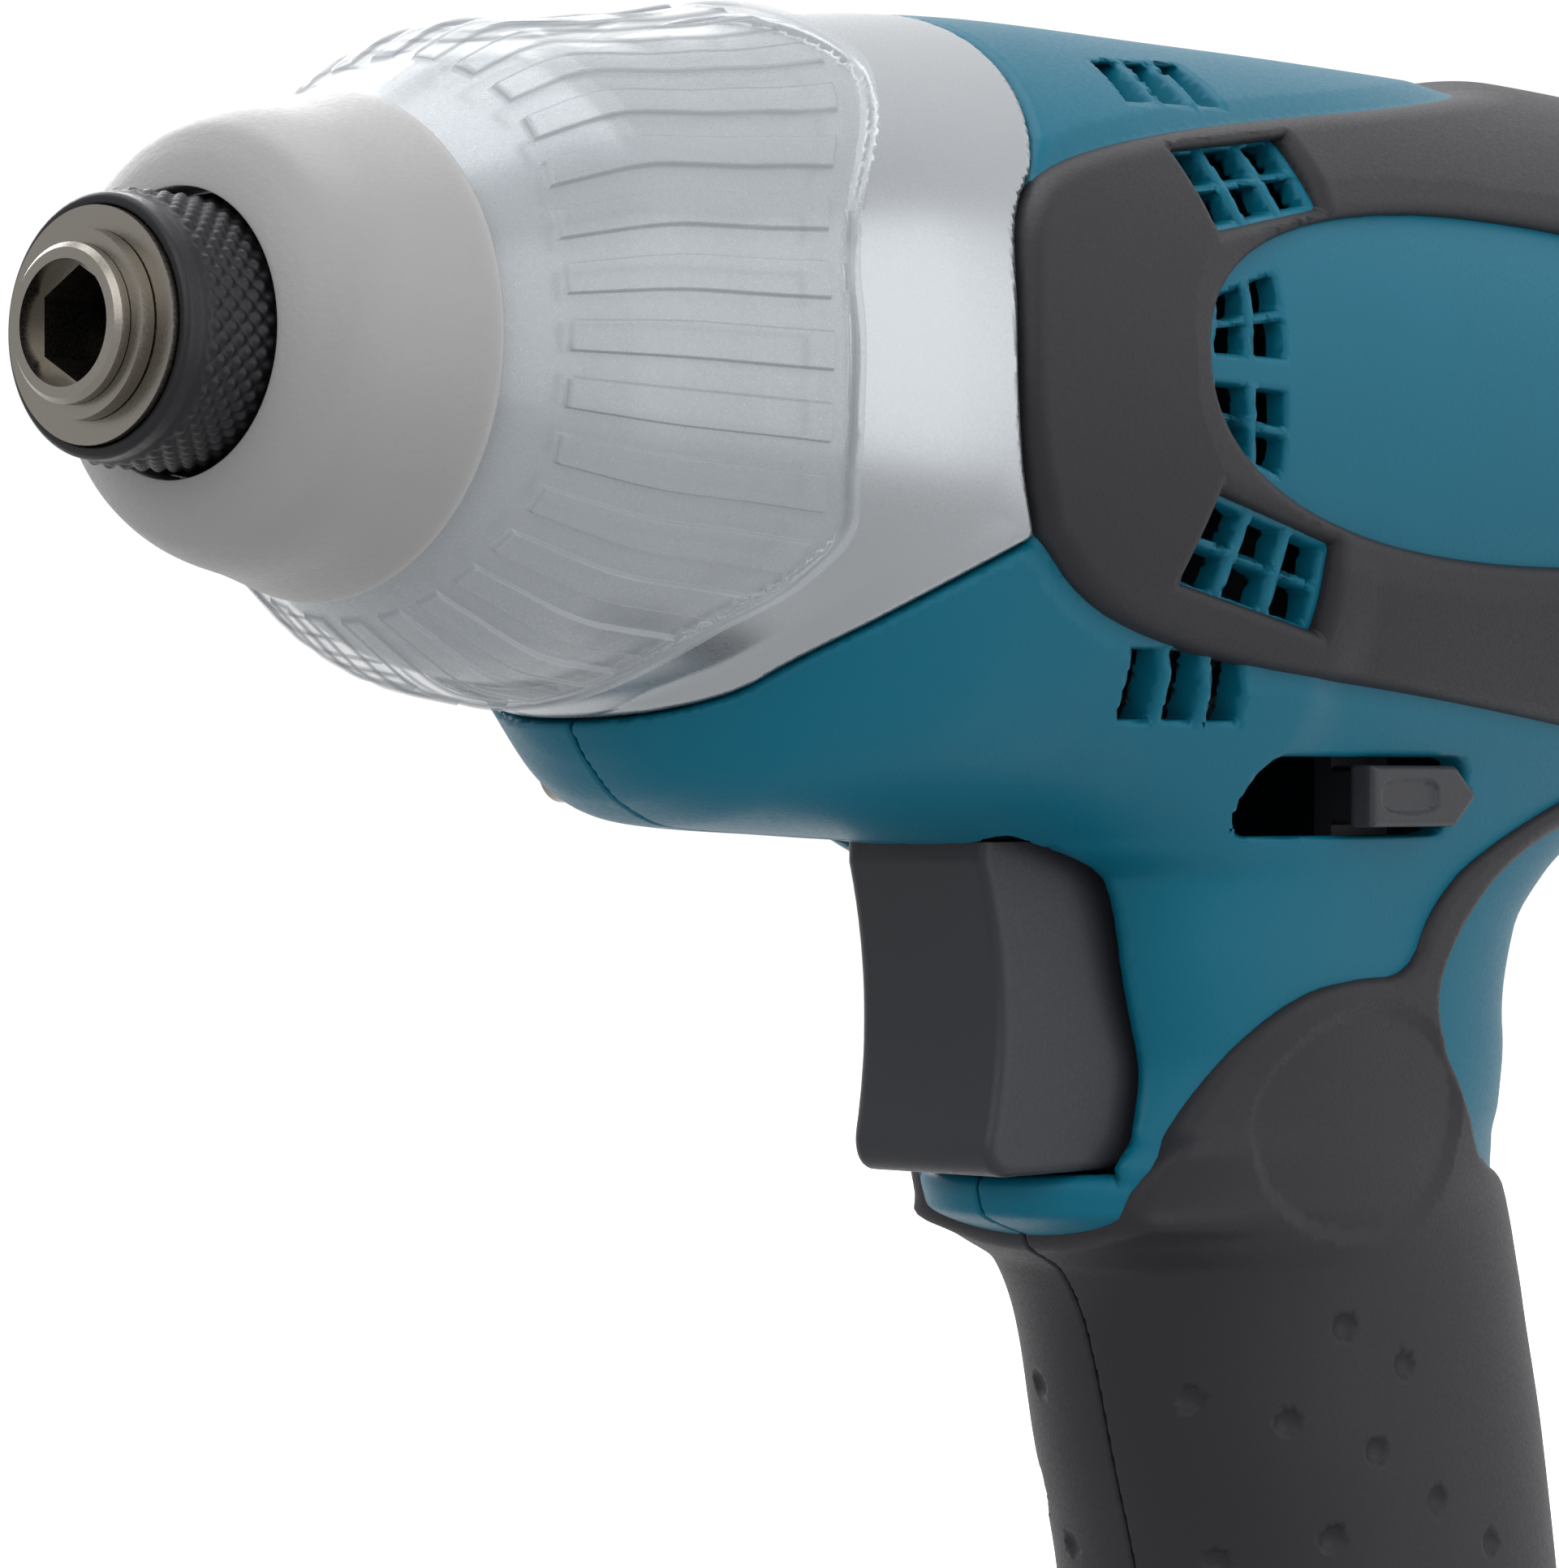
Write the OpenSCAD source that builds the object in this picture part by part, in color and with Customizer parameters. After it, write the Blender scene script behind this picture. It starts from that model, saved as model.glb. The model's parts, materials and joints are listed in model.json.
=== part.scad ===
// Mains-powered impact driver with a quarter-inch hexagonal bit socket, as separate pieces.
// The drive axis is X: the socket opens at x = 0 and the motor lies behind it, towards +X.
// Z is up, and the left side of the tool, as its user holds it, is -Y.

/* [Bit socket] */
// Width across flats of the bit shank
bit_hex = 6.35; // [6.3:0.01:6.4]
// Play of the shank in the socket, across flats
bit_play = 0.1; // [0.05:0.05:0.2]
// Depth of the hexagonal socket
socket_depth = 24; // [20:1:26]
// Radius of the anvil's tip
tip_r = 5.05; // [4.9:0.05:5.2]
// Radius of the anvil under the sleeve
anvil_r = 5.65; // [5.5:0.05:5.8]
// Radius of the anvil's bearing length
journal_r = 6.6; // [6.3:0.1:6.9]
// Radius of a detent ball
detent_r = 1.5; // [1.4:0.05:1.55]

/* [Chuck sleeve] */
// Distance from the anvil's tip back to the sleeve's front
sleeve_setback = 2.7; // [2.4:0.1:3]
// Radius of the knurled band
knurl_r = 8.75; // [8.5:0.05:9]
// How far the sleeve is pulled forward to free a bit
sleeve_stroke = 4; // [3.5:0.1:4.2]
// Length of the spring chamber in the sleeve
chamber_len = 7.5; // [7.2:0.1:8]
// Radius of the spring chamber
chamber_r = 7.6; // [7.5:0.05:7.7]

/* [Impact mechanism] */
// Length of the anvil's bearing bush
bush_len = 11.6; // [10:0.2:13]
// Thickness of the anvil's wings, along the axis
wing_len = 6.7; // [6:0.1:7.5]
// Width of the anvil's wings
wing_w = 9; // [8:0.5:10]
// Radius over the anvil's wings
wing_r = 16.5; // [15.5:0.1:16.8]
// Radius of the hammer
hammer_r = 18.3; // [17.8:0.1:18.6]
// Length of the hammer without its dogs
hammer_len = 18; // [17:0.5:19]
// How far the hammer is thrown back at each blow
hammer_travel = 7; // [6.6:0.1:7.4]
// Turn of the hammer on its cam at full travel, in degrees
cam_turn = 35; // [30:1:40]
// Length of the hammer spring as fitted
hammer_spring_len = 15.1; // [14.6:0.1:16]
// Turns of the hammer spring
hammer_spring_turns = 3; // [2.5:0.25:3]

/* [Gears] */
// Gear module
gear_module = 0.75; // [0.74:0.005:0.76]
// Teeth of the motor pinion
sun_teeth = 8; // [8]
// Teeth of a planet gear
planet_teeth = 16; // [16]
// Width of the planet gears
planet_len = 6; // [5:0.5:7]
// Radius of a planet's pin
pin_r = 2; // [1.8:0.1:2.2]

/* [Motor] */
// Radius of the rotor shaft
shaft_r = 4; // [3.8:0.1:4.2]
// Radius of the armature
armature_r = 15.5; // [15:0.1:16]
// Length of the armature and field stacks
stack_len = 32; // [28:1:36]
// Outer radius of the field stack
field_r = 25.6; // [25:0.1:25.8]
// Radius of the fan
fan_r = 23; // [21:0.5:24]
// Width of the fan
fan_len = 8.5; // [7.5:0.5:9.5]
// Radius of the commutator
commutator_r = 10.5; // [10:0.1:11]
// Length of the commutator
commutator_len = 12; // [11:0.5:13]

/* [Outer forms] */
// Largest radius of the motor barrel
barrel_r = 31.2; // [31:0.1:32]
// Wall of the two housing halves
wall = 2.6; // [2.4:0.1:2.8]
// Thickness of the rubber over the housing
overmould_t = 0.9; // [0.7:0.1:1.2]
// Largest radius of the clear cover
cover_r = 24.2; // [24:0.1:24.6]
// Thickness of the clear cover
cover_t = 1.2; // [1:0.1:1.3]
// Number of raised ribs on the clear cover
rib_count = 32; // [24:1:36]
// Width of a rib
rib_w = 2.5; // [2:0.1:2.8]
// Radius of the nose bumper at its rim
bumper_r = 16.8; // [16.5:0.1:17.2]

/* [Handle] */
// Height of the handle's foot below the drive axis
handle_drop = 138; // [130:1:146]
// Depth of the grip, front to back
grip_d = 46; // [44:0.5:48]
// Width of the grip
grip_w = 33.4; // [32:0.2:35]
// Lean of the handle, in degrees
grip_lean = 10.5; // [8:0.5:12]
// Travel of the trigger
trigger_travel = 7; // [6:0.5:7.5]
// Width of the trigger
trigger_w = 17.4; // [16.5:0.1:18]
// Travel of the reversing lever
lever_travel = 10.5; // [9:0.5:11]
// Radius of the cable hole at the foot
cable_r = 4.2; // [3.5:0.1:4.6]

/* [Hidden] */

// General fits and cut allowances
over = 1;
seat_gap = 0.05;
run_gap = 0.06;
free_gap = 0.35;
seam_gap = 0.1;
fine_fn = 96;
mesh_fn = 36;
hollow_fn = 24;
boss_fn = 14;

// Sleeve, its spring and the ring that keeps them on the anvil
ring_x = 1;
ring_len = 1.2;
ring_out_r = 6;
ring_groove_r = 4.5;
washer_t = 0.6;
washer_out_r = 7.52;
washer_x = ring_x + ring_len + seat_gap;
anvil_step_x = washer_x + washer_t + seat_gap;
sleeve_land = 2.8;
sleeve_tail = 1.5;
sleeve_front_r = 8.2;
sleeve_tail_r = 8.3;
sleeve_flange_r = 8.95;
knurl_start = 1.6;
knurl_len = 5.4;
flange_len = 1.9;
sleeve_chamfer = 0.5;
detent_lift = 1;
mouth_r = 4;
mouth_depth = 1.4;
tip_chamfer = 0.35;
sleeve_spring_wire_r = 0.38;
sleeve_spring_turns = 3;
sleeve_x = sleeve_setback;
shoulder_x = sleeve_x + chamber_len;
ball_x = shoulder_x + sleeve_land;
sleeve_bore_r = anvil_r + run_gap;
sleeve_end_x = ball_x + sleeve_stroke + sleeve_tail;
detent_c = anvil_r - detent_r;
socket_r = (bit_hex + bit_play) / 2 / cos(30);

// Anvil, hammer and spindle, placed one behind the other
nose_gap = 0.8;
bush_wall = 1.9;
journal_x = sleeve_end_x + nose_gap;
bush_end_x = journal_x + bush_len;
anvil_washer_t = 0.6;
wing_x = bush_end_x + anvil_washer_t + 2 * seat_gap;
wing_end_x = wing_x + wing_len;
hub_r = 8.5;
pilot_r = 3.5;
pilot_len = 9.5;
pilot_x = wing_end_x - pilot_len;
dog_gap = 1;
dog_angle = 34;
dog_play_angle = 1.2;
face_gap = 0.5;
hammer_x = wing_end_x + face_gap;
hammer_end_x = hammer_x + hammer_len;
web_len = 6.5;
web_end_x = hammer_x + web_len;
spindle_r = 6.4;
skirt_in_r = 15.2;
hammer_chamfer = 0.8;
dog_in_r = 10.2;
wing_half_angle = asin(wing_w / 2 / dog_in_r);
cam_ball_r = 2.2;
cam_ball_c = 6.9;
cam_x = hammer_x + web_len / 2;
thrust_ball_r = 1.25;
thrust_c = 12.3;
thrust_count = 12;
thrust_x = web_end_x + thrust_ball_r / 4;
thrust_washer_t = 1.3;
thrust_washer_x = thrust_x + thrust_ball_r + seat_gap;
thrust_washer_in_r = 10;
thrust_washer_out_r = 14.6;
hammer_spring_x = thrust_washer_x + thrust_washer_t + seat_gap;
hammer_spring_wire_r = 0.95;
carrier_x = hammer_spring_x + hammer_spring_len + seat_gap;
carrier_t = 2.8;
carrier_r = 14;

// Planetary gears: involute teeth of low height
sun_r = gear_module * sun_teeth / 2;
planet_r = gear_module * planet_teeth / 2;
orbit_r = sun_r + planet_r;
ring_teeth = sun_teeth + 2 * planet_teeth;
ring_r = gear_module * ring_teeth / 2;
planet_count = 3;
pressure_angle = 25;
addendum_share = 0.7;
dedendum_share = 0.95;
tooth_play = 0.12;
planet_x = carrier_x + carrier_t + free_gap;
planet_end_x = planet_x + planet_len;
ring_gear_r = 20.5;
rear_plate_t = 2.4;
rear_plate_x = planet_end_x + free_gap;
rear_plate_r = 13.4;
pillar_r = 2.4;
pillar_inset = 0.5;
pillar_angle = 60;
spindle_tail_r = 7;
spindle_tail_len = 5.8;
spindle_tail_bore_r = 4.3;
spindle_tail_x = rear_plate_x + rear_plate_t;
spindle_end_x = spindle_tail_x + spindle_tail_len;
bearing_len = 5;
spindle_bearing_x = spindle_tail_x + free_gap;
spindle_bearing_r = 11.5;
box_flange_t = 3;
box_step = 1.6;
front_bearing_x = spindle_end_x + box_step;
front_bearing_r = 9.5;
box_boss_r = 14;
box_end_x = front_bearing_x + bearing_len;
pinion_x = planet_x;
pinion_end_x = rear_plate_x;
pinion_neck_r = 3.4;

// Motor, placed behind the bearing box
fan_room = 2;
fan_x = box_end_x + fan_room;
fan_end_x = fan_x + fan_len;
fan_plate_t = 1.6;
fan_hub_r = 8;
blade_count = 13;
blade_t = 1.1;
blade_in_r = 11;
baffle_t = 1.2;
baffle_x = fan_end_x + free_gap;
baffle_in_r = 15.8;
winding_head = 6;
winding_r = 13.6;
stack_x = baffle_x + baffle_t + winding_head + free_gap;
stack_end_x = stack_x + stack_len;
slot_count = 12;
slot_w = 3;
slot_depth = 6;
slot_mouth_share = 0.4;
air_gap = 0.6;
field_bore_r = armature_r + air_gap;
yoke_in_r = 21;
pole_angle = 104;
coil_in_r = 16.9;
coil_out_r = 20.6;
coil_gap_angle = 3;
coil_side_angle = 31;
coil_end = 3.6;
coil_end_r = 23.4;
riser_room = 2;
commutator_x = stack_end_x + winding_head + riser_room;
commutator_end_x = commutator_x + commutator_len;
segment_count = 24;
segment_cut_w = 0.5;
segment_cut_depth = 0.9;
riser_len = 2.4;
riser_r = 12;
brush_w = 6.4;
brush_len = 6;
brush_reach = 10;
holder_wall = 0.9;
holder_reach = 15.5;
holder_lift = 1.8;
rear_bearing_r = 8;
rear_shaft_r = 3.5;
brush_room = 9;
rear_bearing_x = commutator_end_x + brush_room;
rear_bearing_end_x = rear_bearing_x + bearing_len;
rubber_t = 1.6;
shaft_tail = 1;
shaft_end_x = rear_bearing_end_x + shaft_tail;
rear_room = 9.6;
rear_x = shaft_end_x + rear_room;

// Nose, cover, case and barrel outlines.
// Each row: share of the length, share of the largest radius.
bumper_x = 9.4;
bumper_end_x = 22.2;
bumper_hole_r = 9.35;
bumper_shares = [[0, 0.56], [0.03, 0.62], [0.09, 0.71], [0.2, 0.815], [0.4, 0.885], [0.67, 0.93], [1, 1]];
cover_x = bumper_end_x + seam_gap;
cover_end_x = 46.4;
cover_shares = [[0, 0.655], [0.1, 0.715], [0.22, 0.787], [0.32, 0.848], [0.4, 0.893], [0.5, 0.927],
    [0.62, 0.944], [0.8, 0.965], [1, 1]];
rib_h = 0.45;
rib_start_share = 0.19;
rib_margin = 2.4;
cover_tail_x = 64;
// Rear edge of the cover. Each row: angle from the top, share of the barrel's length.
cover_edge_shares = [[0, 0.142], [34, 0.14], [45, 0.123], [59, 0.091], [68, 0.073], [80, 0.063], [93, 0.063],
    [109, 0.069], [118, 0.077], [128, 0.064], [140, 0.034], [154, 0.018], [167, 0.011], [180, 0.009]];
lip_h = 0.5;
lip_len = 1.4;
barrel_shares = [[0, 0.735], [0.06, 0.765], [0.13, 0.832], [0.19, 0.87], [0.25, 0.902], [0.33, 0.93],
    [0.46, 0.952], [0.6, 0.975], [0.76, 0.993], [0.87, 1], [0.93, 0.975], [0.97, 0.9], [0.99, 0.8], [1, 0.7]];
barrel_x = 40;
case_wall = 2.4;
nose_r = 12;
nose_x = 12.3;
nose_bore_r = 9.05;
case_bore_r = ring_gear_r + seam_gap;
wing_room = 0.7;
wing_bore_r = wing_r + wing_room;
spigot_drop = 2.8;
case_end_x = spindle_tail_x + box_flange_t;

// Side view of the front edge of the housing.
// Each row: share of the barrel's length, share of the barrel's radius.
front_edge_shares = [[0.3, 1.3], [0.257, 0.82], [0.213, 0.47], [0.186, 0.37], [0.172, 0.25], [0.165, 0],
    [0.174, -0.2], [0.196, -0.37], [0.142, -0.5], [0.094, -0.64], [0.076, -0.74], [0.02, -0.81], [-0.1, -0.83],
    [-0.1, -5], [1.1, -5], [1.1, 1.3]];

// Chin under the hammer case.
// Each row: share of the barrel's length, share of the chin's depth, share of the barrel's radius.
chin_drop = 1.8;
chin_depth = barrel_r + chin_drop;
chin_shares = [[0.045, 0.72, 0.5], [0.06, 0.82, 0.6], [0.085, 0.91, 0.68], [0.12, 0.96, 0.74],
    [0.2, 0.98, 0.78], [0.32, 1, 0.8], [0.45, 1, 0.8]];
chin_points = 20;
chin_square = 2.7;
chin_top_share = 0.2;

// Handle sections from the barrel down to the foot.
// Each row: share of the drop, shares of the grip's depth forward and back of its axis,
// share of the grip's half width, squareness.
grip_x = 119.2;
grip_shares = [
    [0.1, 0.93, 1.19, 1.46, 3.4], [0.16, 0.93, 1.14, 1.36, 3.4], [0.2, 0.86, 1.03, 1.26, 3.4],
    [0.24, 0.74, 0.82, 1.16, 3.2], [0.262, 0.66, 0.67, 1.11, 3.2], [0.295, 0.65, 0.55, 1.06, 3.2],
    [0.355, 0.69, 0.48, 1, 3.2], [0.4, 0.75, 0.47, 0.98, 3.2], [0.428, 0.845, 0.47, 0.98, 3.2],
    [0.45, 0.83, 0.47, 0.98, 3], [0.467, 0.72, 0.47, 0.98, 2.7], [0.49, 0.635, 0.48, 0.98, 2.4],
    [0.53, 0.585, 0.49, 0.99, 2.3], [0.6, 0.535, 0.5, 1, 2.3], [0.67, 0.5, 0.5, 1.01, 2.3],
    [0.76, 0.5, 0.5, 1.03, 2.3], [0.86, 0.51, 0.51, 1.05, 2.4], [0.95, 0.55, 0.54, 1.14, 2.8],
    [0.985, 0.55, 0.54, 1.14, 2.8], [1, 0.52, 0.51, 1.08, 2.8]];
grip_points = 28;
hollow_points = 16;

// Rubber areas in side view, as shares of the barrel's length and radius or of the grip.
panel_shares = [[0.213, 0.47], [0.186, 0.37], [0.172, 0.25], [0.165, 0], [0.174, -0.2], [0.196, -0.37],
    [0.24, -0.51], [0.3, -0.59], [0.39, -0.65], [0.57, -0.71], [0.75, -0.79], [0.86, -0.83], [1.1, -0.85],
    [1.1, 1.2], [0.84, 1.2], [0.8, 0.98], [0.63, 0.83], [0.39, 0.66], [0.28, 0.56]];
oval_x_share = 0.615;
oval_z_share = 0.06;
oval_len_share = 0.62;
oval_h = 26;
oval_square = 2.4;
oval_points = 32;
strip_shares = [[0.152, 1.12], [0.203, 0.6], [0.247, 0.2], [0.28, 0.06], [0.318, 0], [0.318, -0.18],
    [0.325, -0.32], [0.345, -0.44], [0.375, -0.55], [0.41, -0.7], [0.434, -0.9], [0.474, -1.1],
    [1.02, -1.1], [1.02, 1.2], [0.474, 1.2], [0.44, 0.28], [0.403, 0.2], [0.34, 0.07], [0.297, 0.14],
    [0.251, 0.32], [0.223, 0.62], [0.213, 1.12]];
back_strip_w = 13;
back_shares = [[0.205, 0.9], [0.244, 0.7], [0.303, 0.42], [0.363, 0.34], [0.453, 0.36], [0.453, 0.8],
    [0.205, 1.3]];
foot_trim_share = 0.955;

// Air grilles of both halves in side view. Each row: four corners, from the top front round by the rear,
// as shares of the barrel's length and radius; columns; rows. The first two lie in windows of the rubber.
grille_sets = [
    [[[0.317, 0.545], [0.433, 0.631], [0.433, 0.458], [0.326, 0.356]], 3, 2],
    [[[0.317, -0.247], [0.427, -0.349], [0.428, -0.554], [0.303, -0.452]], 3, 2],
    [[[0.318, 0.205], [0.377, 0.295], [0.376, 0.064], [0.308, 0.064]], 2, 2],
    [[[0.308, 0.01], [0.376, 0.01], [0.377, -0.212], [0.319, -0.147]], 2, 2],
    [[[0.329, 0.8], [0.427, 0.846], [0.413, 0.692], [0.315, 0.66]], 3, 1]];
window_count = 2;
bar_share = 0.12;
grille_in_share = 0.33;
slot_pitch_gap = 1.3;
slot_edge = 0.2;
low_slot_shares = [0.2978, -0.686];
low_slot_w = 3.4;
low_slot_h = 5;
low_slot_count = 3;
low_slot_lean = -1.5;

// Trigger, switch and reversing lever
trigger_top_gap = 1.6;
trigger_top_z = -chin_depth - trigger_top_gap;
trigger_h = 23.6;
trigger_front_x = 85;
trigger_back_x = 103.5;
trigger_hollow = 2.4;
trigger_nose_r = 4.2;
trigger_edge_r = 2.6;
trigger_crown = 1.2;
stem_r = 2.6;
stem_len = 13;
stem_drop_share = 0.42;
stem_room = 1;
switch_x = trigger_back_x + trigger_travel + stem_room;
switch_len = 30;
switch_w = 20;
switch_h = 22;
switch_top_gap = 2.4;
switch_z = trigger_top_z - switch_top_gap;
switch_bore_len = stem_len + stem_room;
switch_edge = 1.2;
terminal_h = 2.6;
terminal_w = 4;
capacitor_len = 19;
capacitor_w = 15;
capacitor_h = 11;
block_len = 17;
block_w = 13;
block_h = 9;
block_screw_r = 1.6;
lever_slot_lift = 5;
lever_slot_z = trigger_top_z + lever_slot_lift;
lever_slot_h = 7.4;
lever_slot_x = 100.8;
lever_len = 16.2;
lever_h = 5.6;
lever_slot_room = 1;
lever_slot_len = lever_len + lever_travel + lever_slot_h - lever_h + lever_slot_room;
lever_out_y = 22.6;
lever_point = 3.4;
lever_plate_t = 1.8;
lever_plate_y = 15;
lever_plate_h = 10;
lever_plate_margin = 1.6;
lever_plate_len = 8;
lever_arm_w = 5;
lever_arm_h = 2;
lever_arm_reach = 9;

// Screws, posts and ribs inside the halves
post_r = 4.2;
screw_r = 1.5;
screw_hole_play = 0.15;
head_r = 2.6;
head_h = 2.2;
screw_bite = 9;
recess_r = 3;
barrel_post_shares = [[0.1296, -0.878], [0.3083, 0.769], [0.3153, -0.9167], [0.946, 0.625], [0.9285, -0.657]];
grip_post_shares = [[0.326, 0.436], [0.6196, -0.3315], [0.71, 0.22], [0.913, -0.297], [0.913, 0.412]];
post_places = concat([for (row = barrel_post_shares) barrel_place(row)],
    [for (row = grip_post_shares) grip_place(row)]);
rib_t = 2.5;
rib_low = 22;
gland_r = 9.2;
gland_flange_r = 11;
gland_flange_t = 2.4;
gland_len = 12;
foot_wall = 4;

/* Shapes that several pieces use */

// A solid turned about the drive axis: the profile gives radius, then place along X
module turned(steps = fine_fn) {
    rotate([0, 90, 0])
        rotate_extrude($fn = steps)
            children();
}

// A plain ring about the drive axis
module tube(x0, x1, r_in, r_out, steps = fine_fn) {
    turned(steps)
        translate([r_in, x0])
            square([r_out - r_in, x1 - x0]);
}

// A ring sector about the drive axis, from one angle to another
module sector(x0, x1, r_in, r_out, angle0, angle1) {
    rotate([0, 90, 0])
        rotate([0, 0, angle0])
            rotate_extrude(angle = angle1 - angle0, $fn = fine_fn)
                translate([r_in, x0])
                    square([r_out - r_in, x1 - x0]);
}

// Children copied evenly about the drive axis
module around_axis(count) {
    for (i = [0 : count - 1])
        rotate([i * 360 / count, 0, 0])
            children();
}

// One half of space: side -1 is the left half, 1 the right
module half(side, reach) {
    translate([-reach, side < 0 ? -reach : seam_gap / 2, -reach])
        cube([2 * reach, reach - seam_gap / 2, 2 * reach]);
}

// A side-view outline carried right across the tool
module across(points, width) {
    rotate([90, 0, 0])
        translate([0, 0, -width / 2])
            linear_extrude(width)
                polygon(points);
}

// A closed skin over rings of equally many points
module skin(rings) {
    n = len(rings[0]);
    last = len(rings) - 1;
    points = [for (ring = rings) each ring];
    sides = [
        for (k = [0 : last - 1], i = [0 : n - 1])
            let (a = k * n + i, b = k * n + (i + 1) % n)
                each [[a, b, b + n], [a, b + n, a + n]]];
    low_cap = [[for (i = [n - 1 : -1 : 0]) i]];
    high_cap = [[for (i = [0 : n - 1]) last * n + i]];
    polyhedron(points = points, faces = concat(low_cap, sides, high_cap));
}

// A power that keeps its sign, for rounded-square sections
function signed_pow(value, power) = sign(value) * pow(abs(value), power);

// A coil of round wire about X: rings of points along a helix
function coil_rings(x0, length, turns, coil_r, wire_r) =
    let (steps = ceil(8 * turns), run = length - 2 * wire_r, rise = atan2(run, turns * 2 * PI * coil_r))
        [for (k = [0 : steps])
            let (a = 360 * turns * k / steps, cx = x0 + wire_r + run * k / steps)
                [for (j = [0 : 5])
                    let (b = 60 * j, out = coil_r + wire_r * cos(b), along = wire_r * sin(b))
                        [cx + along * cos(rise),
                            out * cos(a) + along * sin(rise) * sin(a),
                            out * sin(a) - along * sin(rise) * cos(a)]]];

// Gap between neighbouring turns of a coil
function coil_gap(length, turns, wire_r) = (length - 2 * wire_r) / turns - 2 * wire_r;

// Half the angle of an involute tooth at one radius
function involute(angle) = tan(angle) - angle * PI / 180;
function tooth_half(r, pitch_r, teeth, play) =
    let (base_r = pitch_r * cos(pressure_angle), at = r > base_r ? acos(base_r / r) : 0)
        90 / teeth - play / pitch_r * 90 / PI + (involute(pressure_angle) - involute(at)) * 180 / PI;

// Outline of a gear, six points to a tooth
function gear_points(teeth, root_r, tip_r, play) =
    let (pitch_r = gear_module * teeth / 2, radii = [root_r, (root_r + tip_r) / 2, tip_r])
        [for (k = [0 : teeth - 1], s = [-1, 1], j = [0 : 2])
            let (r = radii[s < 0 ? j : 2 - j], a = 360 * k / teeth + s * tooth_half(r, pitch_r, teeth, play))
                [r * cos(a), r * sin(a)]];

// An outer gear carried along the drive axis
module gear(teeth, x0, x1) {
    pitch_r = gear_module * teeth / 2;
    translate([x0, 0, 0])
        rotate([0, 90, 0])
            linear_extrude(x1 - x0)
                polygon(gear_points(teeth, pitch_r - dedendum_share * gear_module,
                    pitch_r + addendum_share * gear_module, tooth_play));
}

// Where a planet's pin stands
module at_planet(k) {
    angle = k * 360 / planet_count;
    translate([0, orbit_r * sin(angle), -orbit_r * cos(angle)])
        children();
}

/* Outlines of the outer forms */

function bumper_profile() =
    [for (row = bumper_shares) [row[1] * bumper_r, bumper_x + row[0] * (bumper_end_x - bumper_x)]];
function cover_profile(grow) =
    [for (row = cover_shares) [row[1] * cover_r + grow, cover_x + row[0] * (cover_end_x - cover_x)]];
function barrel_len() = rear_x - barrel_x;
function barrel_profile(grow) =
    [for (row = barrel_shares)
        [row[1] * barrel_r + grow, barrel_x + row[0] * barrel_len() + (row[0] == 1 ? grow : 0)]];
function barrel_place(row) = [barrel_x + row[0] * barrel_len(), row[1] * barrel_r];
function grip_axis(drop) = grip_x + drop * tan(grip_lean);
function grip_place(row) = [grip_axis(row[0] * handle_drop) + row[1] * grip_d, -row[0] * handle_drop];

// Solid of the motor barrel
module barrel(grow, steps = mesh_fn) {
    turned(steps)
        polygon(concat([[0, barrel_x]], barrel_profile(grow), [[0, rear_x + grow]]));
}

// Solid of the chin: rounded sections that hang below the axis
module chin(grow) {
    skin([for (row = chin_shares)
        let (x = barrel_place(row)[0], low = row[1] * chin_depth + grow, w = row[2] * barrel_r + grow)
            [for (i = [0 : chin_points - 1])
                let (a = 360 * i / chin_points, c = signed_pow(cos(a), 2 / chin_square),
                    s = signed_pow(sin(a), 2 / chin_square))
                    [x - (row == chin_shares[0] ? grow : 0), -w * c,
                        s > 0 ? chin_top_share * low * s : low * s]]]);
}

// Solid of the handle: rounded-square sections from the barrel to the foot
module handle(grow, points = grip_points) {
    skin([for (row = grip_shares)
        let (drop = row[0] * handle_drop, mid = grip_axis(drop),
            front = mid - row[1] * grip_d - grow, back = mid + row[2] * grip_d + grow,
            w = row[3] * grip_w / 2 + grow, z = -drop - (row[0] == 1 ? grow : 0))
            [for (i = [0 : points - 1])
                let (a = 360 * i / points)
                    [(front + back) / 2 + (back - front) / 2 * signed_pow(cos(a), 2 / row[4]),
                        w * signed_pow(sin(a), 2 / row[4]), z]]]);
}

// The whole outer form of the two halves, made larger or smaller all round
module outer_form(grow) {
    barrel(grow);
    chin(grow);
    handle(grow);
}

// Side-view area that the two halves take up, behind the hammer case
module front_area(gap) {
    translate([gap, 0, 0])
        across([for (row = front_edge_shares) barrel_place(row)], 3 * barrel_r);
}

// The oval window in the rubber panel
module oval(grow) {
    mid = barrel_place([oval_x_share, oval_z_share]);
    reach = oval_len_share * barrel_len() / 2 + grow;
    across([for (i = [0 : oval_points - 1])
        let (a = 360 * i / oval_points)
            [mid[0] + reach * signed_pow(cos(a), 2 / oval_square),
                mid[1] + (oval_h / 2 + grow) * signed_pow(sin(a), 2 / oval_square)]], 3 * barrel_r);
}

// A place inside a grille, from its front to its rear and from its top to its bottom
function grille_place(corners, along, down) =
    (1 - down) * ((1 - along) * corners[0] + along * corners[1])
        + down * ((1 - along) * corners[3] + along * corners[2]);

// One four-cornered hole, cut inwards on the left side
module pane(corners) {
    hull()
        rotate([90, 0, 0])
            translate([0, 0, grille_in_share * barrel_r])
                linear_extrude(barrel_r + over - grille_in_share * barrel_r)
                    polygon([for (row = corners) barrel_place(row)]);
}

// The windows of the rubber that show the first grilles
module grille_windows() {
    for (k = [0 : window_count - 1])
        pane(grille_sets[k][0]);
}

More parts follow.
